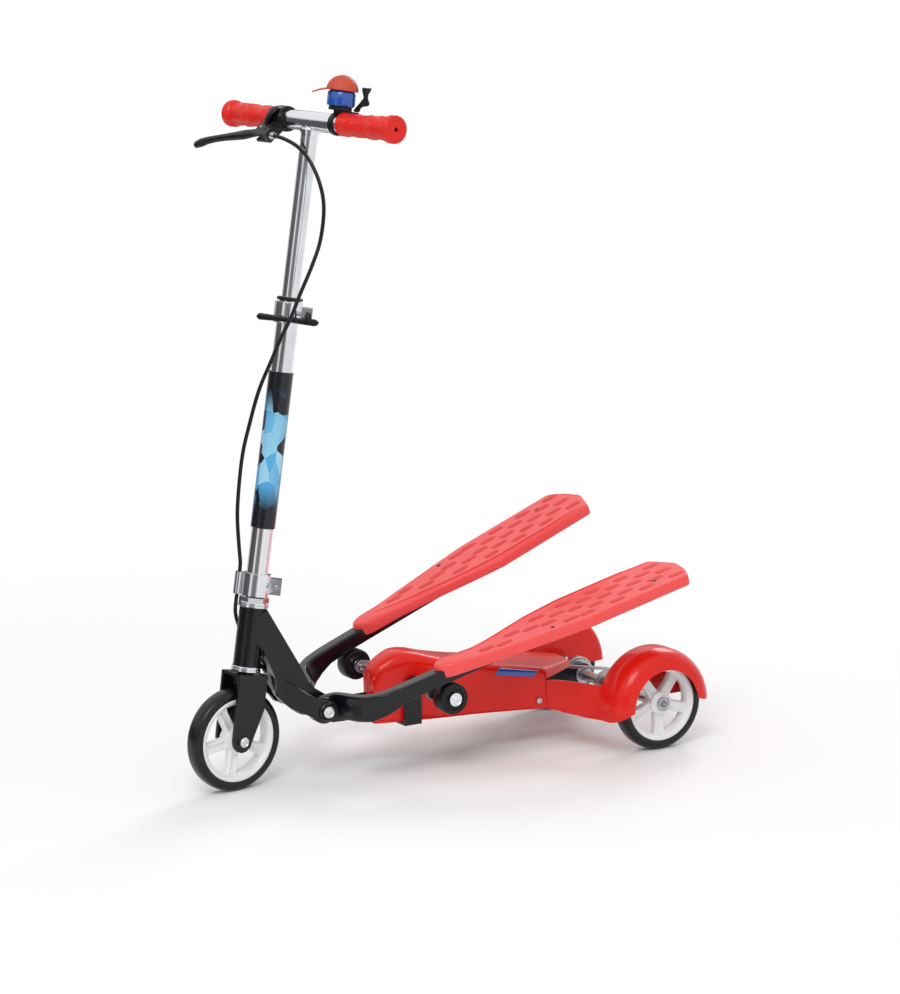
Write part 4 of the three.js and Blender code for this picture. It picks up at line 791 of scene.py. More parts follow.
def boardHeight(x, y):
    # The top of the board: a nose that swells forward, a ridge along the inner edge and a lower step inside it.
    nose = 5.6 * mm * np.exp(-(((x - 0.158) / 0.034) ** 2)) * np.exp(-(((y - 0.105) / 0.022) ** 2))
    ridge = ridgeAt(x)
    shown = np.clip((x - 0.17) / 0.04, 0, 1) * np.clip((0.512 - x) / 0.05, 0, 1)
    lip = board["rise"] * np.exp(-(((y - ridge) / 0.003) ** 2))
    step = -board["fall"] / (1 + np.exp((y - ridge + 0.004) / 0.0016))
    return nose + (lip + step) * shown


def boardShape():
    # Rings from the middle of the underside to the rim, up it, over a quarter circle and back to the middle.
    steps = board["steps"]
    edge = outlineAt(steps)
    middleY = np.interp(edge[:, 0], board["middleX"], board["middleY"])
    middle = np.stack([np.clip(edge[:, 0], 0.16, 0.505), middleY], -1)
    inwards = middle - edge
    inwards /= np.maximum(np.linalg.norm(inwards, axis=1)[:, None], 1e-6)
    low, top, rounding = (board[key] for key in ("low", "top", "round"))

    def ring(flat, z):
        return np.column_stack([flat, np.full(steps, z)])

    sideWays = ((0.8 * mm, low), (0.2 * mm, low + 3 * mm), (0, low + 6 * mm), (0, top - rounding))
    rings = [ring(edge + inwards * drawn, z) for drawn, z in sideWays]
    for a in np.linspace(0, math.pi / 2, 6)[1:]:
        drawn, lift = rounding * (1 - math.cos(a)), rounding * math.sin(a)
        rings.append(ring(edge + inwards * drawn, top - rounding + lift))
    start = edge + inwards * rounding
    rings += [ring(start + (middle - start) * share, top) for share in np.linspace(0, 1, 40)[1:]]
    outer = np.array(rings)
    lift = boardHeight(outer[..., 0], outer[..., 1])
    outer[..., 2] += lift * np.clip((outer[..., 2] - low) / (top - low), 0, 1)
    wall = edge + inwards * board["wall"]
    under = np.array([ring(middle, top - board["roof"]), ring(wall, top - board["roof"]), ring(wall, low)])
    grid = np.concatenate([under, outer])
    return grid.reshape(-1, 3), gridFaces(len(grid), steps, wrapColumns=True)


def padShape():
    # Low lozenges in staggered rows: each a flattened superellipse dome.
    u = np.linspace(0, 1, 6)[:, None]
    across, along = squared(np.linspace(0, 2 * math.pi, 20, endpoint=False)[None, :], 0.6)
    reach = 1 - 0.35 * u**2
    longHalf, wideHalf = pad["half"]
    height = pad["height"] * np.sqrt(u) + 0 * across
    dome = np.stack([longHalf * across * reach, wideHalf * along * reach, height], -1)
    parts = []
    for line in range(pad["lines"]):
        x = pad["first"] + pad["step"] * line
        inner = ridgeAt(x) + pad["innerGap"]
        outer = np.interp(x, pad["outerX"], pad["outerY"]) - pad["outerGap"]
        rows = int((outer - inner) / pad["row"])
        for row in range(line % 2, rows, 2):
            y = inner + (outer - inner) * (row + 0.5) / rows
            points, faces = closedGrid(dome)
            points = points + (x, y, board["top"] - pad["sunk"])
            points[:, 2] += boardHeight(points[:, 0], points[:, 1])
            parts.append((points, faces))
    return joined(parts)


def ridgeShape():
    # A round bead along the inner ridge, thinning to nothing at both ends.
    x = np.linspace(0.172, 0.506, 90)
    path = np.stack([x, ridgeAt(x), board["top"] + boardHeight(x, ridgeAt(x)) - 0.5 * mm], -1)
    radii = board["bead"] * np.sin(np.linspace(0.25, math.pi - 0.25, 90))[:, None] ** 0.4
    return path, radii


padPaint = mouldedPlastic("padRed", (226, 50, 52), (218, 46, 48), 0.5, grain=0.5, shine=0.4)
for side, sign in sides.items():
    place, body = pedalFrames[side], f"pedal_{side}"
    mirror = (1, sign, 1)
    points, faces = boardShape()
    boardName = f"pedal_board_{side}"
    addSolid(boardName + "_moulded", (points * mirror, faces), place, "deck_red", body, (boardName,), 48)
    points, faces = padShape()
    pads = addSolid(f"tread_pads_{side}", (points * mirror, faces), place, "deck_red", body, (), 60)
    path, radii = ridgeShape()
    bead = closedGrid(tubeGrid(path * mirror, radii, 12))
    ridge = addSolid(f"board_ridge_{side}", bead, place, "deck_red", body, (), 60)
    for piece in (pads, ridge):
        piece.data.materials[0] = padPaint
    heads = []
    for x, y in board["screws"]:
        points, faces = turnedSolid(np.array(board["screw"]) * mm, 20)
        points = points[:, [0, 2, 1]] + (x * mm, sign * y * mm, board["top"] - 0.2 * mm)
        heads.append((points, faces))
    addSolid(f"board_screws_{side}", joined(heads), place, "black_plastic", body)
print("pedal boards")


# Turned pieces, each given by its profile of (radius, along) in mm.
def axisFrame(origin, along, across):
    # A frame whose second axis is the one that a profile is turned about.
    return makeFrame(origin, across, along, Vector(across).cross(Vector(along)))


upTurn = axisFrame(column["origin"], columnUp, columnRear)
bellTurn = axisFrame(bell["origin"], columnUp, columnRear)


def profileOf(points):
    # Millimetres to metres.
    return np.array(points, float) * mm


def addTurned(name, parts, slotName, body, replaced=()):
    # Several turned rings or solids in their own frames, as one piece.
    made = []
    for kind, place, profile, steps in parts:
        points, faces = (turnedRing if kind == "ring" else turnedSolid)(profileOf(profile), steps)
        made.append((placed(points, place), faces))
    points, faces = joined(made)
    outward(addPiece(name, points, faces, slotName, body, replaced))


addTurned("handlebar_tubes", [
    ("ring", bar, [(12.7, -173.4), (12.7, 173.4), (12.2, 174), (11.2, 174), (11.2, -174), (12.2, -174)], 96),
    ("ring", upTurn, [(11, 430), (11, 803), (9.5, 803), (9.5, 430)], 96),
    ("ring", upTurn, [
        (11.05, 786.5), (11.5, 789), (12.6, 791.6), (13.4, 794.5), (12.6, 797), (9.8, 797), (9.8, 786.5),
    ], 64),
], "chrome", "stem", ("handlebar",))
addTurned("column_tube_polished", [
    ("ring", upTurn, [(13.6, 191), (14, 191.4), (14, 574.5), (13.5, 575), (11.4, 575), (11.4, 191)], 96),
], "chrome", "steering", ("column_tube",))
addTurned("column_sleeve_printed", [
    ("ring", upTurn, [(14.2, 279), (15.4, 279), (16, 279.7), (16, 482.3), (15.4, 483), (14.2, 483)], 96),
], "sleeve_print", "steering", ("column_sleeve",))
addTurned("column_cap_moulded", [
    ("ring", upTurn, [
        (11.3, 575.3), (16.3, 575.3), (17, 576), (17, 578.4), (16, 579.5), (12.4, 579.5), (11.3, 578.9),
    ], 64),
], "black_plastic", "steering", ("column_cap",))
cupLip = [
    (18.4, 0), (19.5, 0.9), (19.5, 2.9), (18.3, 3.5), (18.3, 4.1), (19.1, 4.7), (19.1, 6.2), (18.4, 7),
    (11.4, 7), (11.4, 0),
]
for name, low, grow in (("headset_lower_cup", 90.2, 0), ("headset_upper_cup", 174.9, 0.6)):
    lip = [(r + grow if r > 12 else r, low + h) for r, h in cupLip]
    addTurned(name + "_polished", [("ring", upTurn, lip, 72)], "chrome", "frame", (name,))
print("column")


# Bell: a drum and a cap with six seams and a drooping brim, drawn in the bell's frame
cap = {
    "radius": 20.5 * mm, "low": 42.1 * mm, "height": 19.7 * mm, "seams": 6, "seamDepth": 0.35 * mm,
    "seamWidth": 0.045, "button": [(2.6, 19.4), (2.6, 19.6), (1.6, 19.75), (0.2, 19.8)], "brimReach": 38 * mm,
    "brimHalf": 17 * mm, "brimLift": 2.3 * mm, "way": math.radians(144), "droop": 7.6 * mm, "fall": 1.4 * mm,
    "thick": 1.5 * mm,
}


def capDome():
    # Height follows a quarter circle; the radius dips in a narrow bell curve at each seam; a button on top.
    a = np.linspace(0, math.pi / 2 - 0.06, 18)[:, None]
    t = np.linspace(0, 2 * math.pi, 120, endpoint=False)
    seam = np.abs(np.mod(t * cap["seams"] / (2 * math.pi), 1) - 0.5)
    dip = cap["seamDepth"] * np.exp(-((0.5 - seam) / cap["seamWidth"]) ** 2)
    r = (cap["radius"] - dip) * np.cos(a)
    z = cap["low"] + cap["height"] * np.sin(a) + 0 * t
    dome = np.stack([r * np.cos(t), r * np.sin(t), z], -1)
    button = turnedGrid(np.array(cap["button"]) * mm, len(t))[..., [0, 2, 1]] + (0, 0, cap["low"])
    return closedGrid(np.concatenate([dome, button]))


def capBrim():
    # From the cap's edge out to a half ellipse, dropping with the square of the way out and of the way aside.
    rows, columns = 33, 24
    a = np.linspace(-math.pi / 2, math.pi / 2, rows)[:, None]
    v = np.linspace(0, 1, columns // 2)[None, :]
    root = (cap["radius"] - 1 * mm) * np.stack([np.cos(a * 0.93), np.sin(a * 0.93)], -1)
    tip = np.stack([cap["brimReach"] * np.cos(a) ** 0.8, cap["brimHalf"] * np.sin(a)], -1)
    tip = np.where(np.linalg.norm(tip, axis=-1, keepdims=True) < cap["radius"], root * 1.04, tip)
    flat = root + (tip - root) * v[..., None]
    out = np.clip(flat[..., 0] - 12 * mm, 0, None) / (cap["brimReach"] - 12 * mm)
    aside = flat[..., 1] / cap["brimHalf"]
    z = cap["low"] + cap["brimLift"] - cap["droop"] * out**2 - cap["fall"] * aside**2 * out
    top = np.concatenate([flat, z[..., None]], -1)
    grid = np.concatenate([top, (top - (0, 0, cap["thick"]))[:, ::-1]], axis=1)
    ends = [list(range(columns)), [(rows - 1) * columns + k for k in range(columns)][::-1]]
    return turnedBy(grid.reshape(-1, 3), cap["way"]), gridFaces(rows, columns, wrapColumns=True) + ends


addSolid("bell_cap_moulded", joined([capDome(), capBrim()]), bell, "cap_orange", "stem", ("bell_cap",), 50)
addTurned("bell_drum_polished", [
    ("solid", bellTurn, [
        (0.3, 21.8), (14.6, 21.8), (16.8, 22.6), (17.8, 24.4), (18, 26.4), (18, 37.6), (17.5, 39.4),
        (16.3, 40.9), (14.6, 41.8), (0.3, 41.8),
    ], 80),
], "blue_gloss", "stem", ("bell_drum",))

thumb = {"angle": math.radians(-36), "half": 6.4, "outline": [
    (17.4, 17.6), (23.5, 17.6), (25, 19), (25.6, 22.5), (28.5, 25.2), (33.5, 26.4), (35.8, 27.6), (36, 30.8),
    (33.8, 35.2), (33.2, 38.6), (33.8, 42), (36, 46.2), (36.4, 49.2), (35.2, 50), (33.8, 48.9), (32.2, 49.9),
    (30.6, 48.8), (29, 49.8), (27.2, 48.8), (25.6, 49.6), (24.6, 48.4), (24.8, 46), (27.2, 42), (28, 38.6),
    (27.4, 35.4), (25, 32), (24.4, 29.6), (23.2, 27), (21.2, 24), (20.8, 21.4), (17.4, 20.6),
]}


def thickOutline(outline, half):
    # An outline spread to both sides, its outer layers drawn in a little so that its edges are round.
    shape = np.array(outline, float)
    centre = shape.mean(0)
    layers = []
    for share, grow in ((-1, 0.93), (-0.86, 0.985), (-0.5, 1), (0.5, 1), (0.86, 0.985), (1, 0.93)):
        ring = centre + (shape - centre) * grow
        layers.append(np.column_stack([ring[:, 0], np.full(len(ring), share * half), ring[:, 1]]))
    return closedGrid(np.array(layers) * mm)


points, faces = thickOutline(thumb["outline"], thumb["half"])
lever = (turnedBy(points, thumb["angle"]), faces)
addSolid("bell_lever_moulded", lever, bell, "black_plastic", "bell_lever", ("bell_lever",), 50)
print("bell")


# Brake lever: a squared section carried along the blade, thick at its root, slim in its middle, blunt at the tip
levelWay = math.radians(45)
brake = makeFrame(bar["origin"], -columnRear * math.cos(levelWay) - columnUp * math.sin(levelWay), columnSide,
                  columnRear * math.sin(levelWay) - columnUp * math.cos(levelWay))
blade = {
    "path": [
        (28, 66.5), (28, 72), (31, 82), (36, 98), (41, 116), (45.5, 134), (50.5, 152), (56.5, 168), (63, 178),
        (68.4, 185),
    ],
    "half": [5.2, 5.8, 6.4, 6.6, 5.4, 4.6, 4.3, 4.6, 5.6, 4.6],
    "thick": [3.6, 3.6, 3.7, 5.0, 4.8, 4.3, 4.1, 4.3, 5.0, 3.6],
    "tipShare": 0.03, "steps": 72,
}


def bladeShape():
    # Half width and thickness run between their given values and round off in a circle over the tip's share.
    steps, tip = blade["steps"], blade["tipShare"]
    route = curveThrough(np.array(blade["path"]), steps)
    share = np.linspace(0, 1, len(blade["path"]))
    u = np.linspace(0, 1, steps)
    taper = np.sqrt(np.clip(1 - np.clip((u - 1 + tip) / tip, 0, 1) ** 2, 0.12, 1))
    half, thick = (np.interp(u, share, blade[key]) * taper for key in ("half", "thick"))
    section = squared(np.linspace(0, 2 * math.pi, 28, endpoint=False), 0.7)
    points, faces = carriedFlat(route, half, 0, thick, section)
    return points * mm, faces


addSolid("brake_lever_moulded", bladeShape(), brake, "black_plastic", "brake_lever", ("brake_lever",), 60)

# The bracket's body: a soft box from the ring to the lever's root, with a horn that leans off the ring's top
bracket = [
    {"path": [(15, 58, 0), (20, 60, 0), (26, 62.5, 0), (33, 62, 0), (39.5, 59, 0)], "lean": 0,
     "wide": [8, 9.5, 8.5, 5.5], "tall": [9, 8.6, 8.2, 6]},
    {"path": [(-3, 59, -14), (1, 60.5, -17.2), (8, 63, -17.4), (15, 66.5, -13), (21, 69, -8)], "lean": 0.3,
     "wide": [3.2, 8.4, 8.8, 7], "tall": [2.2, 3.6, 4, 3.4]},
]


def bracketShape(limb):
    # An ellipse carried along the limb's path, its radii running between the given ones.
    steps = 30
    u = np.linspace(0, 1, steps)
    radii = np.stack([np.interp(u, [0, 0.3, 0.7, 1], limb[key]) for key in ("wide", "tall")], -1)
    path = curveThrough(np.array(limb["path"], float), steps)
    return closedGrid(tubeGrid(path * mm, radii * mm, 28, up=(limb["lean"], 0, 1)))


body = joined([bracketShape(limb) for limb in bracket])
addSolid("brake_bracket_body", body, brake, "black_plastic", "stem", (), 60)
print("brake lever")


# Bolt heads: a low dome with a cross recess pressed into it
def headShape(radius, height, recess):
    # Height falls with the square of the way out, by the recess inside a cross of two bars, and in a fine ring.
    share = np.linspace(0.001, 1, 26)[:, None]
    t = np.linspace(0, 2 * math.pi, 64, endpoint=False)[None, :]
    x, y = radius * share * np.cos(t), radius * share * np.sin(t)
    crossHalf, crossReach = radius * 0.13, radius * 0.56
    near, far = np.minimum(np.abs(x), np.abs(y)), np.maximum(np.abs(x), np.abs(y))
    inside = (near < crossHalf) & (far < crossReach)
    z = height * (1 - 0.35 * share**2) - recess * inside - 0.25 * height * (np.abs(share - 0.8) < 0.045)
    top = np.stack([x, y, z], -1)
    foot = np.stack([radius * 1.02 * np.cos(t), radius * 1.02 * np.sin(t), 0 * t], -1)
    return closedGrid(np.concatenate([top, foot]))


def addHeads(name, places, radius, height, body):
    # Chrome heads at (origin, outward way) pairs, their recess half as deep as they are high.
    parts = []
    for origin, way in places:
        way = Vector(way).normalized()
        side = Vector((0.31, 0.05, 0.95)).cross(way).normalized()
        points, faces = headShape(radius * mm, height * mm, 0.5 * height * mm)
        parts.append((placed(points, makeFrame(origin, side, way.cross(side), way)), faces))
    points, faces = joined(parts)
    outward(addPiece(name, points, faces, "chrome", body, (), 30))


def groundPoint(x, y, z):
    # A point given in millimetres from the ground under the front wheel.
    return placed((x * mm, y * mm, z * mm), ground)


headAside = {"pivot": 48.2, "front": 24.4, "roller": 118.2}
pivotX, pivotZ = scooter["pivot"]
pivotEnds = [(groundPoint(pivotX, sign * headAside["pivot"], pivotZ), (0, sign, 0)) for sign in (-1, 1)]
addHeads("pivot_bolt_heads", pivotEnds, 7.6, 1.4, "frame")
axleMiddle = np.array(joints["front_wheel"]["pos_m"])
axleReach = np.array(columnSide) * headAside["front"] * mm
axleEnds = [(axleMiddle + axleReach * sign, columnSide * sign) for sign in (-1, 1)]
addHeads("front_bolt_heads", axleEnds, 6.6, 1.3, "steering")
for side, sign in sides.items():
    centre = np.array(joints[f"roller_{side}"]["pos_m"])
    centre[1] = sign * headAside["roller"] * mm
    addHeads(f"roller_{side}_head", [(centre, (0, sign, 0))], 8.9, 1.6, "crank")
print("bolt heads")


# Rollers: a rubber tyre with rounded shoulders on a sunk face
for side, sign in sides.items():
    centre = np.array(joints[f"roller_{side}"]["pos_m"])
    centre[1] = 0
    place = axisFrame(centre, (0, sign, 0), (1, 0, 0))
    addTurned(f"roller_{side}_moulded", [("ring", place, [
        (5.4, 93.6), (12, 93.6), (13, 93), (18.4, 93), (20.2, 93.9), (21, 95.8), (21, 113.2), (20.2, 115.1),
        (18.4, 116), (14, 116), (13.2, 114.9), (5.4, 114.9),
    ], 96)], "roller_black", f"roller_{side}", (f"pedal_roller_{side}",))
print("rollers")


# Hub caps on the rear wheels: a steel cup with a ring round it and a hollow middle
for side, sign in sides.items():
    place = axisFrame(joints["rear_axle"]["pos_m"], (0, sign, 0), (1, 0, 0))
    addTurned(f"hub_cap_{side}", [
        ("ring", place, [
            (5.2, 146.6), (9.6, 146.6), (9.8, 148.4), (9.2, 149.6), (8.2, 149.8), (7.4, 148.6), (5.2, 148.4),
        ], 64),
        ("solid", place, [
            (0.2, 146), (4.6, 146), (4.6, 149.6), (3.9, 150.4), (2.2, 150.4), (1.8, 149.2), (0.2, 149.2),
        ], 32),
    ], "steel", "rear_axle", (f"rear_nut_{side}",))
print("hub caps")


# Cables: round cords along their routes; the one along the frame goes with the frame, the other two are attached
# to no body
routes = {
    "brake_cable_upper": ("column", [
        (-24, 40.6, 782), (-25, 17, 779), (-23, -10, 771), (-18, -28, 758), (-10, -44, 733), (-4, -53, 703),
        (-4, -55, 658), (-11, -53, 624), (-20, -47, 586), (-26, -42, 556), (-32, -35, 530), (-37, -27, 500),
        (-42, -14, 458), (-43, -3, 410), (-41, 6, 376), (-37, 12, 338), (-32, 14.5, 292), (-24, 14, 252),
        (-19.2, 13.4, 230), (-18.84, 13.19, 219.4),
    ]),
    "brake_cable_turning": ("ground", [
        (16.85, 9.97, 257.98), (15.3, 10.2, 248.7), (16.5, 16, 232), (24, 22.5, 212), (34, 23.8, 193),
        (41, 22, 179), (41.2, 18, 170.5), (44.5, 12, 163),
    ]),
    "brake_cable_frame": ("ground", [
        (44.61, 11.79, 162.74), (46.9, 7.66, 157.6), (54, 6.2, 150.5), (62, 6.2, 143), (70, 6.2, 133),
        (77.5, 6.2, 122.5), (90, 6.2, 106), (104.5, 6.2, 91), (116.5, 6.2, 84.8), (130, 6.2, 79),
        (150, 6.2, 76.5), (200, 6.2, 76.5), (290, 6.2, 76.5), (376, 6.2, 75.5), (400, 6.2, 67),
        (418, 7.5, 62.4), (442, 15, 59), (476, 38, 50.5), (500, 55, 46.2), (516, 66, 50), (527, 73, 59.4),
        (536.3, 74, 64.3),
    ]),
}
cable = {"radius": 2.5 * mm, "steps": 26}
for name, (where, route) in routes.items():
    path = curveThrough(np.array(route) * mm, cable["steps"] * len(route))
    path = placed(path, column if where == "column" else ground)
    points, faces = closedGrid(tubeGrid(path, cable["radius"], 20, up=(0.2, 0.9, 0.1)))
    body = "frame" if name == "brake_cable_frame" else None
    piece = outward(addPiece(name + "_cord", points, faces, "black_plastic", body, (name,), 60))
    if name == "brake_cable_upper":
        tuple(placed((0, 0, 760 * mm), column))
        tuple(placed((0, 0, 420 * mm), column))
        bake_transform(piece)
    if name == "brake_cable_turning":
        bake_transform(piece)
print("cables")


# Fenders: a quarter ellipse swept about the wheel, its front edge rising towards the open lip
fender = {
    "x": 566.7 * mm, "z": 64.3 * mm, "radius": 77.75 * mm, "lip": 52 * mm, "inner": 108 * mm,
    "middle": 138 * mm, "outer": 168 * mm, "hole": 19 * mm, "shoulder": 11 * mm, "wall": 2.4 * mm,
    "rearLift": 1.7 * mm, "rearFall": 5 * mm, "frontDrop": 16.3 * mm, "lipLift": 15 * mm, "bead": 0.9 * mm,
    "edge": 0.5 * mm,
}
skirt = {
    "plan": [(433, 70.2), (447, 74.5), (459, 83), (470, 96), (480, 112), (486.5, 126), (489, 138)],
    "lowAt": [0, 0.3, 0.6, 1], "low": [62.4, 54.5, 49.6, 48.2],
    "highAt": [0, 0.35, 0.7, 1], "high": [101.5, 98.5, 96.5, 97],
    "swell": 1.6 * mm,
}


def fenderSection():
    # From the hole in the inner wall up to the shoulder, over the crown and down to the lip. The third value
    # is the share of the way along the crown.
    rounding = fender["shoulder"]
    b = np.linspace(0, math.pi / 2, 8)
    shoulderR = fender["radius"] - rounding + rounding * np.sin(b)
    shoulderY = fender["inner"] + rounding - rounding * np.cos(b)
    wallR = np.linspace(fender["hole"], fender["radius"] - rounding, 7)[:-1]
    a = np.linspace(0, math.pi / 2, 22)[1:]
    crownR = fender["lip"] + (fender["radius"] - fender["lip"]) * np.cos(a) ** 0.92
    crownY = fender["middle"] + (fender["outer"] - fender["middle"]) * np.sin(a) ** 1.05
    r = np.concatenate([wallR, shoulderR, crownR])
    y = np.concatenate([np.full(len(wallR), fender["inner"]), shoulderY, crownY])
    share = np.concatenate([np.zeros(len(wallR) + len(shoulderR)), a / (math.pi / 2)])
    return r, y, share


def fenderShell():
    # The section swept from its rear edge to its front edge, both at a height that changes along the crown.
    r, y, share = fenderSection()
    rearDrop = -fender["rearLift"] - fender["rearFall"] * share**6
    frontDrop = fender["frontDrop"] - fender["lipLift"] * share**1.6
    start = -np.arcsin(np.clip(rearDrop / r, -1, 1))
    end = math.pi + np.arcsin(np.clip(frontDrop / r, -1, 0.85))
    v = np.linspace(0, 1, 84)[None, :]
    angle = start[:, None] + (end - start)[:, None] * v
    bead = fender["bead"] * np.exp(-(((1 - share) / 0.05) ** 2))[:, None]
    radius = r[:, None] - bead * 0.5
    x, z = fender["x"] + radius * np.cos(angle), fender["z"] + radius * np.sin(angle)
    grid = np.stack([x, y[:, None] + bead + 0 * v, z], -1)
    return grid.reshape(-1, 3), gridFaces(len(r), 84)


def skirtShell():
    # A curve in plan from the cover to the fender's front, upright at first, like the fender's crown at last.
    rows, columns = 40, 16
    route = curveThrough(np.array(skirt["plan"]) * mm, rows)
    u = np.linspace(0, 1, rows)[:, None]
    v = np.linspace(0, 1, columns)[None, :]
    low, high = (np.interp(u, skirt[key + "At"], skirt[key]) * mm for key in ("low", "high"))
    z = low + (high - low) * v
    crown = fender["x"] - np.sqrt(fender["radius"] ** 2 - (z - fender["z"]) ** 2) - skirt["plan"][-1][0] * mm
    swell = skirt["swell"] * np.sin(math.pi * v) * np.sin(math.pi * u)
    x = route[:, :1] + np.clip(crown, -0.5 * mm, None) * u**3 + swell * 0.6
    grid = np.stack([x, route[:, 1:] - swell, z], -1)
    return grid.reshape(-1, 3), gridFaces(rows, columns)


def addSheet(name, points, faces, thick, slotName, replaced=(), bevel=0):
    # A sheet on the frame that gets its wall inwards, and its rims eased.
    smoothAngle = 50
    piece = addPiece(name, points, faces, slotName, "frame", replaced, smoothAngle)
    wall = piece.modifiers.new("wall", "SOLIDIFY")
    wall.thickness = thick
    wall.offset = -1
    wall.use_even_offset = True
    if bevel:
        addBevel(piece, bevel, smoothAngle)


for side, sign in sides.items():
    for name, (points, faces), replaced in (
        (f"fender_{side}_shell", fenderShell(), (f"rear_fender_{side}",)),
        (f"fender_{side}_skirt", skirtShell(), ()),
    ):
        points = points * (1, sign, 1)
        probe = len(faces) // 2
        away = (-1, 0, 0) if "skirt" in name else points[faces[probe][0]] - points.mean(0)
        faces = facing(points, faces, probe, away)
        addSheet(name, placed(points, ground), faces, fender["wall"], "red_gloss", replaced, fender["edge"])
print("fenders")


# Body cover: rings along the scooter, each an arch, through stations of (x, half width, top, corner)
cover = {
    "front": [
        (201, 14, 130, 10), (206, 17, 138, 12), (218, 20.5, 147, 14), (238, 25, 155, 16), (262, 31, 153, 17),
        (286, 36, 146, 18), (345, 46, 132, 18), (408, 62.8, 120.9, 15.5), (435, 72, 117, 14),
    ],
    "tail": [(435, 72, 117, 13.4), (437, 71, 116.5, 12.6), (470, 50, 114, 10.3), (500, 28, 112, 8.1)],
    "low": 62, "tailLow": 103.6, "wall": 2.2 * mm, "crease": 0.9, "round": 0.9, "edge": 0.4 * mm,
    "nose": (0.02, 0.35, 0.7),
}


def coverStation(x, key="front"):
    # Half width, top and corner at x, by a smooth curve through the given stations.
    fine = curveThrough(np.array(cover[key], float), 200)
    return [np.interp(x, fine[:, 0], fine[:, k]) for k in (1, 2, 3)]


def coverRing(x, half, top, corner, low):
    # Up one side, round a soft corner, across a gently crowned roof with a crease towards each side, and down.
    a = np.linspace(0, math.pi / 2, 9)
    arcY = half - corner + corner * np.cos(a) ** cover["round"]
    arcZ = top - corner + corner * np.sin(a) ** cover["round"]
    roofY = np.linspace(half - corner, 0, 8)[1:]
    flat = np.clip((half - corner) / 20, 0, 1)
    roofZ = top + cover["crease"] * flat * (1 - (roofY / max(half - corner, 1)) ** 2)
    sideY = np.concatenate([np.full(9, half), arcY[1:], roofY])
    sideZ = np.concatenate([np.linspace(low, top - corner, 9), arcZ[1:], roofZ])
    y = np.concatenate([sideY, -sideY[-2::-1]])
    z = np.concatenate([sideZ, sideZ[-2::-1]])
    return np.stack([np.full(len(y), x), y, z], -1)


def coverShell(key, low, first, last, steps):
    # Rings at even steps; the front end is closed by rings that narrow to its middle.
    grid = np.array([coverRing(x, *coverStation(x, key), low) for x in np.linspace(first, last, steps)])
    if key == "front":
        grid = np.concatenate([np.array([grid[0] * (1, share, 1) for share in cover["nose"]]), grid])
    return grid.reshape(-1, 3) * mm, gridFaces(*grid.shape[:2])


for name, key, low, first, last, steps, replaced in (
    ("body_cover_shell", "front", cover["low"], 201, 435, 60, ("body_cover",)),
    ("body_cover_tail", "tail", cover["tailLow"], 435, 500, 18, ()),
):
    points, faces = coverShell(key, low, first, last, steps)
    probe = len(faces) // 2
    a = points[faces[probe][0]]
    faces = facing(points, faces, probe, a - (a[0], 0, 80 * mm))
    addSheet(name, placed(points, ground), faces, cover["wall"], "red_gloss", replaced, cover["edge"])
print("cover")


# A plain blue plate on each side of the cover, lying along its arch
plate = {"x": 366, "length": 52, "slant": 9, "low": 0.12, "rise": 0.62, "gap": 0.35, "thick": 0.6 * mm}


def plateShape(sign):
    # A patch of the cover's corner, off it by a gap: u runs along the scooter, v up the corner's angle.
    u, v = np.meshgrid(np.linspace(0, 1, 24), np.linspace(0, 1, 8), indexing="ij")
    x = plate["x"] + plate["length"] * u + plate["slant"] * v
    half, top, corner = coverStation(x)
    a = plate["low"] + plate["rise"] * v
    y = half - corner + corner * np.cos(a) ** cover["round"] + plate["gap"]
    z = top - corner + corner * np.sin(a) ** cover["round"] + plate["gap"]
    points = np.stack([x, sign * y, z], -1).reshape(-1, 3) * mm
    return points, facing(points, gridFaces(24, 8), 0, (0, sign, 0))


for side, sign in sides.items():
    points, faces = plateShape(sign)
    addSheet(f"cover_plate_{side}", placed(points, ground), faces, plate["thick"], "blue_gloss")
print("plates")


# Front of the frame: gussets that swing out from the down tube to the pivot lugs, a strut and two bolt rings
front = {
    "lowX": [56, 71, 92, 108, 116.5], "low": [121, 104.5, 93.5, 86.2, 82.4],
    "high": [150, 138, 122, 113, 111.4], "flareFrom": 58, "flareTo": 104, "inner": 18.4, "outer": 44.8,
    "round": 14.5, "wall": 4 * mm, "edge": 1.2 * mm,
    "strut": [
        (36, 190), (43, 177), (51.5, 163), (55.8, 150.7), (57, 141), (59, 131), (68, 115.5), (86, 99.5),
        (104, 89), (126, 79.5), (150, 74),
    ],
    "strutHalf": 11, "strutThick": 2.6, "cuts": (112, 125, 140), "end": 140.5, "web": (60, 100),
    "webAside": 30, "webGap": 0.6, "above": 62, "lift": 0.8, "edgeX": [60, 71, 88, 100, 116, 128, 140],
    "edgeZ": [121, 107, 94, 88, 81.8, 76.5, 71.5],
}


def flareAt(x):
    # How far aside the gusset is at x: a smooth step from the down tube to the lug.
    s = np.clip((x - front["flareFrom"]) / (front["flareTo"] - front["flareFrom"]), 0, 1)
    return front["inner"] + (front["outer"] - front["inner"]) * s * s * (3 - 2 * s)


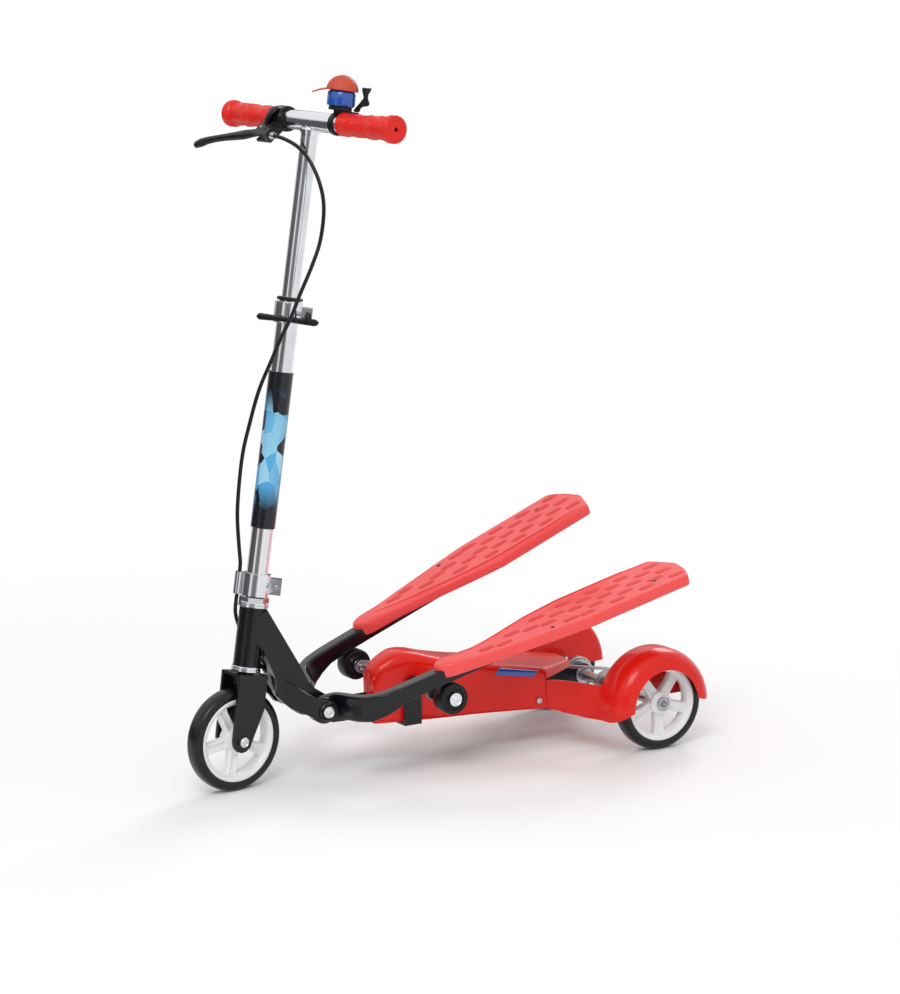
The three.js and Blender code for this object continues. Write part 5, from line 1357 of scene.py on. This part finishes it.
def gussetShape(sign):
    # Along x, upright between two curves, its distance aside a smooth step; a half circle closes it.
    rows, columns = 47, 12
    cornerX = pivotX + front["round"] * np.sin(np.linspace(0, math.pi / 2, 14)[1:])
    x = np.concatenate([np.linspace(front["lowX"][0], pivotX, 34), cornerX])
    low, high = (np.interp(x, front["lowX"], front[key]) for key in ("low", "high"))
    past = x > pivotX
    rise = np.sqrt(np.clip(front["round"] ** 2 - (x - pivotX) ** 2, 0.02, None))
    low[past], high[past] = (pivotZ - rise)[past], (pivotZ + rise)[past]
    v = np.linspace(0, 1, columns)[None, :]
    z = low[:, None] + (high - low)[:, None] * v
    grid = np.stack([x[:, None] + 0 * v, sign * flareAt(x)[:, None] + 0 * v, z], -1)
    points = grid.reshape(-1, 3) * mm
    return points, facing(points, gridFaces(rows, columns), 40, (0, sign, 0))


def strutShape():
    # A flat bar of a squared section carried along the strut's path in the scooter's middle plane.
    route = curveThrough(np.array([(x, 0, z) for x, z in front["strut"]]) * mm, 70)
    wide, thick = squared(np.linspace(0, 2 * math.pi, 24, endpoint=False), 0.5, 0.7)
    wide, thick = wide * front["strutHalf"] * mm, thick * front["strutThick"] * mm
    along = unitSlopes(route)
    normal = np.stack([-along[:, 2], 0 * along[:, 0], along[:, 0]], -1)
    aside = wide[None, :, None] * np.array([0, 1, 0])
    return closedGrid(route[:, None, :] + aside + thick[None, :, None] * normal[:, None, :])


for side, sign in sides.items():
    points, faces = gussetShape(sign)
    name = f"frame_gusset_{side}"
    addSheet(name, placed(points, ground), faces, front["wall"], "black_paint", (), front["edge"])
    place = axisFrame(groundPoint(pivotX, 0, pivotZ), (0, sign, 0), (1, 0, 0))
    addTurned(f"pivot_ring_{side}", [
        ("ring", place, [
            (8.2, 44), (12.6, 44), (12.9, 45.6), (12, 47.2), (10.6, 47.9), (9.2, 47.5), (8.2, 46.4),
        ], 64),
    ], "black_paint", "frame")
addSolid("frame_strut", strutShape(), ground, "black_paint", "frame", (), 60)
print("frame front")


def reshapedFront(mesh):
    # Near the pivot the frame's webs draw in to the gussets, and all stays above the curve of the strut.
    shape = bmesh.new()
    shape.from_mesh(mesh)
    for cutX in front["cuts"]:
        geometry = shape.verts[:] + shape.edges[:] + shape.faces[:]
        point = Vector(ground["origin"]) + Vector((cutX * mm, 0, 0))
        bmesh.ops.bisect_plane(shape, geom=geometry, dist=1e-6, plane_co=point, plane_no=(1, 0, 0))
    shape.to_mesh(mesh)
    shape.free()
    flat = np.empty(len(mesh.vertices) * 3)
    mesh.vertices.foreach_get("co", flat)
    x, y, z = ((flat.reshape(-1, 3) - ground["origin"]) / mm).T
    near = x < front["end"]
    web = near & (x > front["web"][0]) & (x < front["web"][1]) & (np.abs(y) > front["webAside"])
    y = np.where(web, np.copysign(np.abs(y) - (front["outer"] - flareAt(x)) - front["webGap"], y), y)
    edge = np.interp(x, front["edgeX"], front["edgeZ"]) + front["lift"]
    z = np.where(near & (x > front["above"]), np.maximum(z, edge), z)
    mesh.vertices.foreach_set("co", placed(np.stack([x, y, z], -1) * mm, ground).ravel())
    mesh.update()


# Pedal arms: one rounded box section carried from the hub, across and along under the board
arm = {
    "path": [
        (-3, 28.5), (8, 28.8), (18, 33), (24.5, 47), (31, 71), (41, 91), (58, 101.5), (82, 104.7), (120, 105),
        (300, 105), (500, 105),
    ],
    "low": [-15, -17, -19, -19.8, -19.8, -18.4, -13.2, -5, -3.2, -3.2, -3.2], "high": 17.0,
    "half": [4.6, 5, 5, 5, 5.6, 7.2, 9.4, 10.8, 11, 11, 11],
    "hub": [(5.4, 18.6), (16.1, 18.6), (17.6, 20), (17.6, 36.8), (16, 38.3), (5.4, 38.3)],
}


def armShape():
    # Half width and lower edge run between the values at the path's points; the section is nearly a box.
    knots = np.array(arm["path"], float)
    share = np.linspace(0, 1, len(knots))
    u = np.concatenate([np.linspace(0, 0.8, 130), np.linspace(0.8, 1, 21)[1:]])
    fine = curveThrough(knots, 900)
    run = np.concatenate([[0], np.cumsum(np.linalg.norm(np.diff(fine, axis=0), axis=1))])
    knotRun = run[np.argmin(np.linalg.norm(fine[None] - knots[:, None], axis=-1), axis=1)]
    at = np.interp(u, share, knotRun)
    route = np.stack([np.interp(at, run, fine[:, k]) for k in (0, 1)], -1)
    half, low = (np.interp(u, share, arm[key]) for key in ("half", "low"))
    section = squared(np.linspace(0, 2 * math.pi, 40, endpoint=False), 0.32, 0.2)
    points, faces = carriedFlat(route, half, (arm["high"] + low) / 2, (arm["high"] - low) / 2, section)
    return joined([(points * mm, faces), turnedRing(profileOf(arm["hub"]), 64)])


for side, sign in sides.items():
    points, faces = armShape()
    tube = (points * (1, sign, 1), faces)
    name = f"pedal_arm_{side}"
    addSolid(name + "_tube", tube, pedalFrames[side], "black_paint", f"pedal_{side}", (name,), 50)
print("pedal arms")


# Quick-release lever: a bar that swells at both ends, with a post down its bolt
quick = {
    "x": [-40, -36, -24, -8, 10, 24, 34, 40], "half": [3.0, 4.4, 4.0, 3.3, 3.6, 4.3, 4.6, 3.2], "y": -23.5,
    "z": 551.6, "thick": 3.2, "bend": 1.2, "tipFrom": 36, "tipLength": 4.2, "angle": math.radians(-36),
    "postX": 25.6,
    "post": [(0.3, 548), (4.2, 548), (4.4, 549), (4.4, 558), (3.4, 561), (2.6, 563.4), (0.3, 563.5)],
}


def quickShape():
    # Its section is squared, as high as the given halves, and its thickness follows their square root.
    x = np.linspace(quick["x"][0], quick["x"][-1], 60)[:, None]
    tip = np.clip((np.abs(x) - quick["tipFrom"]) / quick["tipLength"], 0, 1)
    taper = np.sqrt(np.clip(1 - tip**2, 0.1, 1))
    half = np.interp(x, quick["x"], quick["half"]) * taper
    out, up = squared(np.linspace(0, 2 * math.pi, 24, endpoint=False), 0.6)
    bend = quick["bend"] * (x / quick["x"][-1]) ** 2
    y = quick["y"] + bend + quick["thick"] * (half / max(quick["half"])) ** 0.5 * out
    handle = closedGrid(np.stack([x + 0 * out, y, quick["z"] + half * up], -1) * mm)
    post, postFaces = turnedSolid(profileOf(quick["post"]), 24)
    post = post[:, [0, 2, 1]] + (quick["postX"] * mm, quick["y"] * mm, 0)
    points, faces = joined([handle, (post, postFaces)])
    return turnedBy(points, quick["angle"]), faces


replaced = ("quick_clamp_lever",)
addSolid("quick_lever_moulded", quickShape(), column, "black_plastic", "clamp_lever", replaced, 60)
print("quick lever")

# Everything else keeps its CAD shape with rounded edges, given in millimetres.
bevels = {"main_frame": 1.2, "fork": 2.2, "brake_bracket": 2.2}
commonBevel = 0.5
done = {name for piece in bpy.data.objects for name in piece.get("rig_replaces", [])}
for name in nodes:
    if name not in done:
        piece = softened(name, bevels.get(name, commonBevel) * mm)
        if name == "main_frame":
            reshapedFront(piece.data)
print("softened", len(nodes) - len(done))
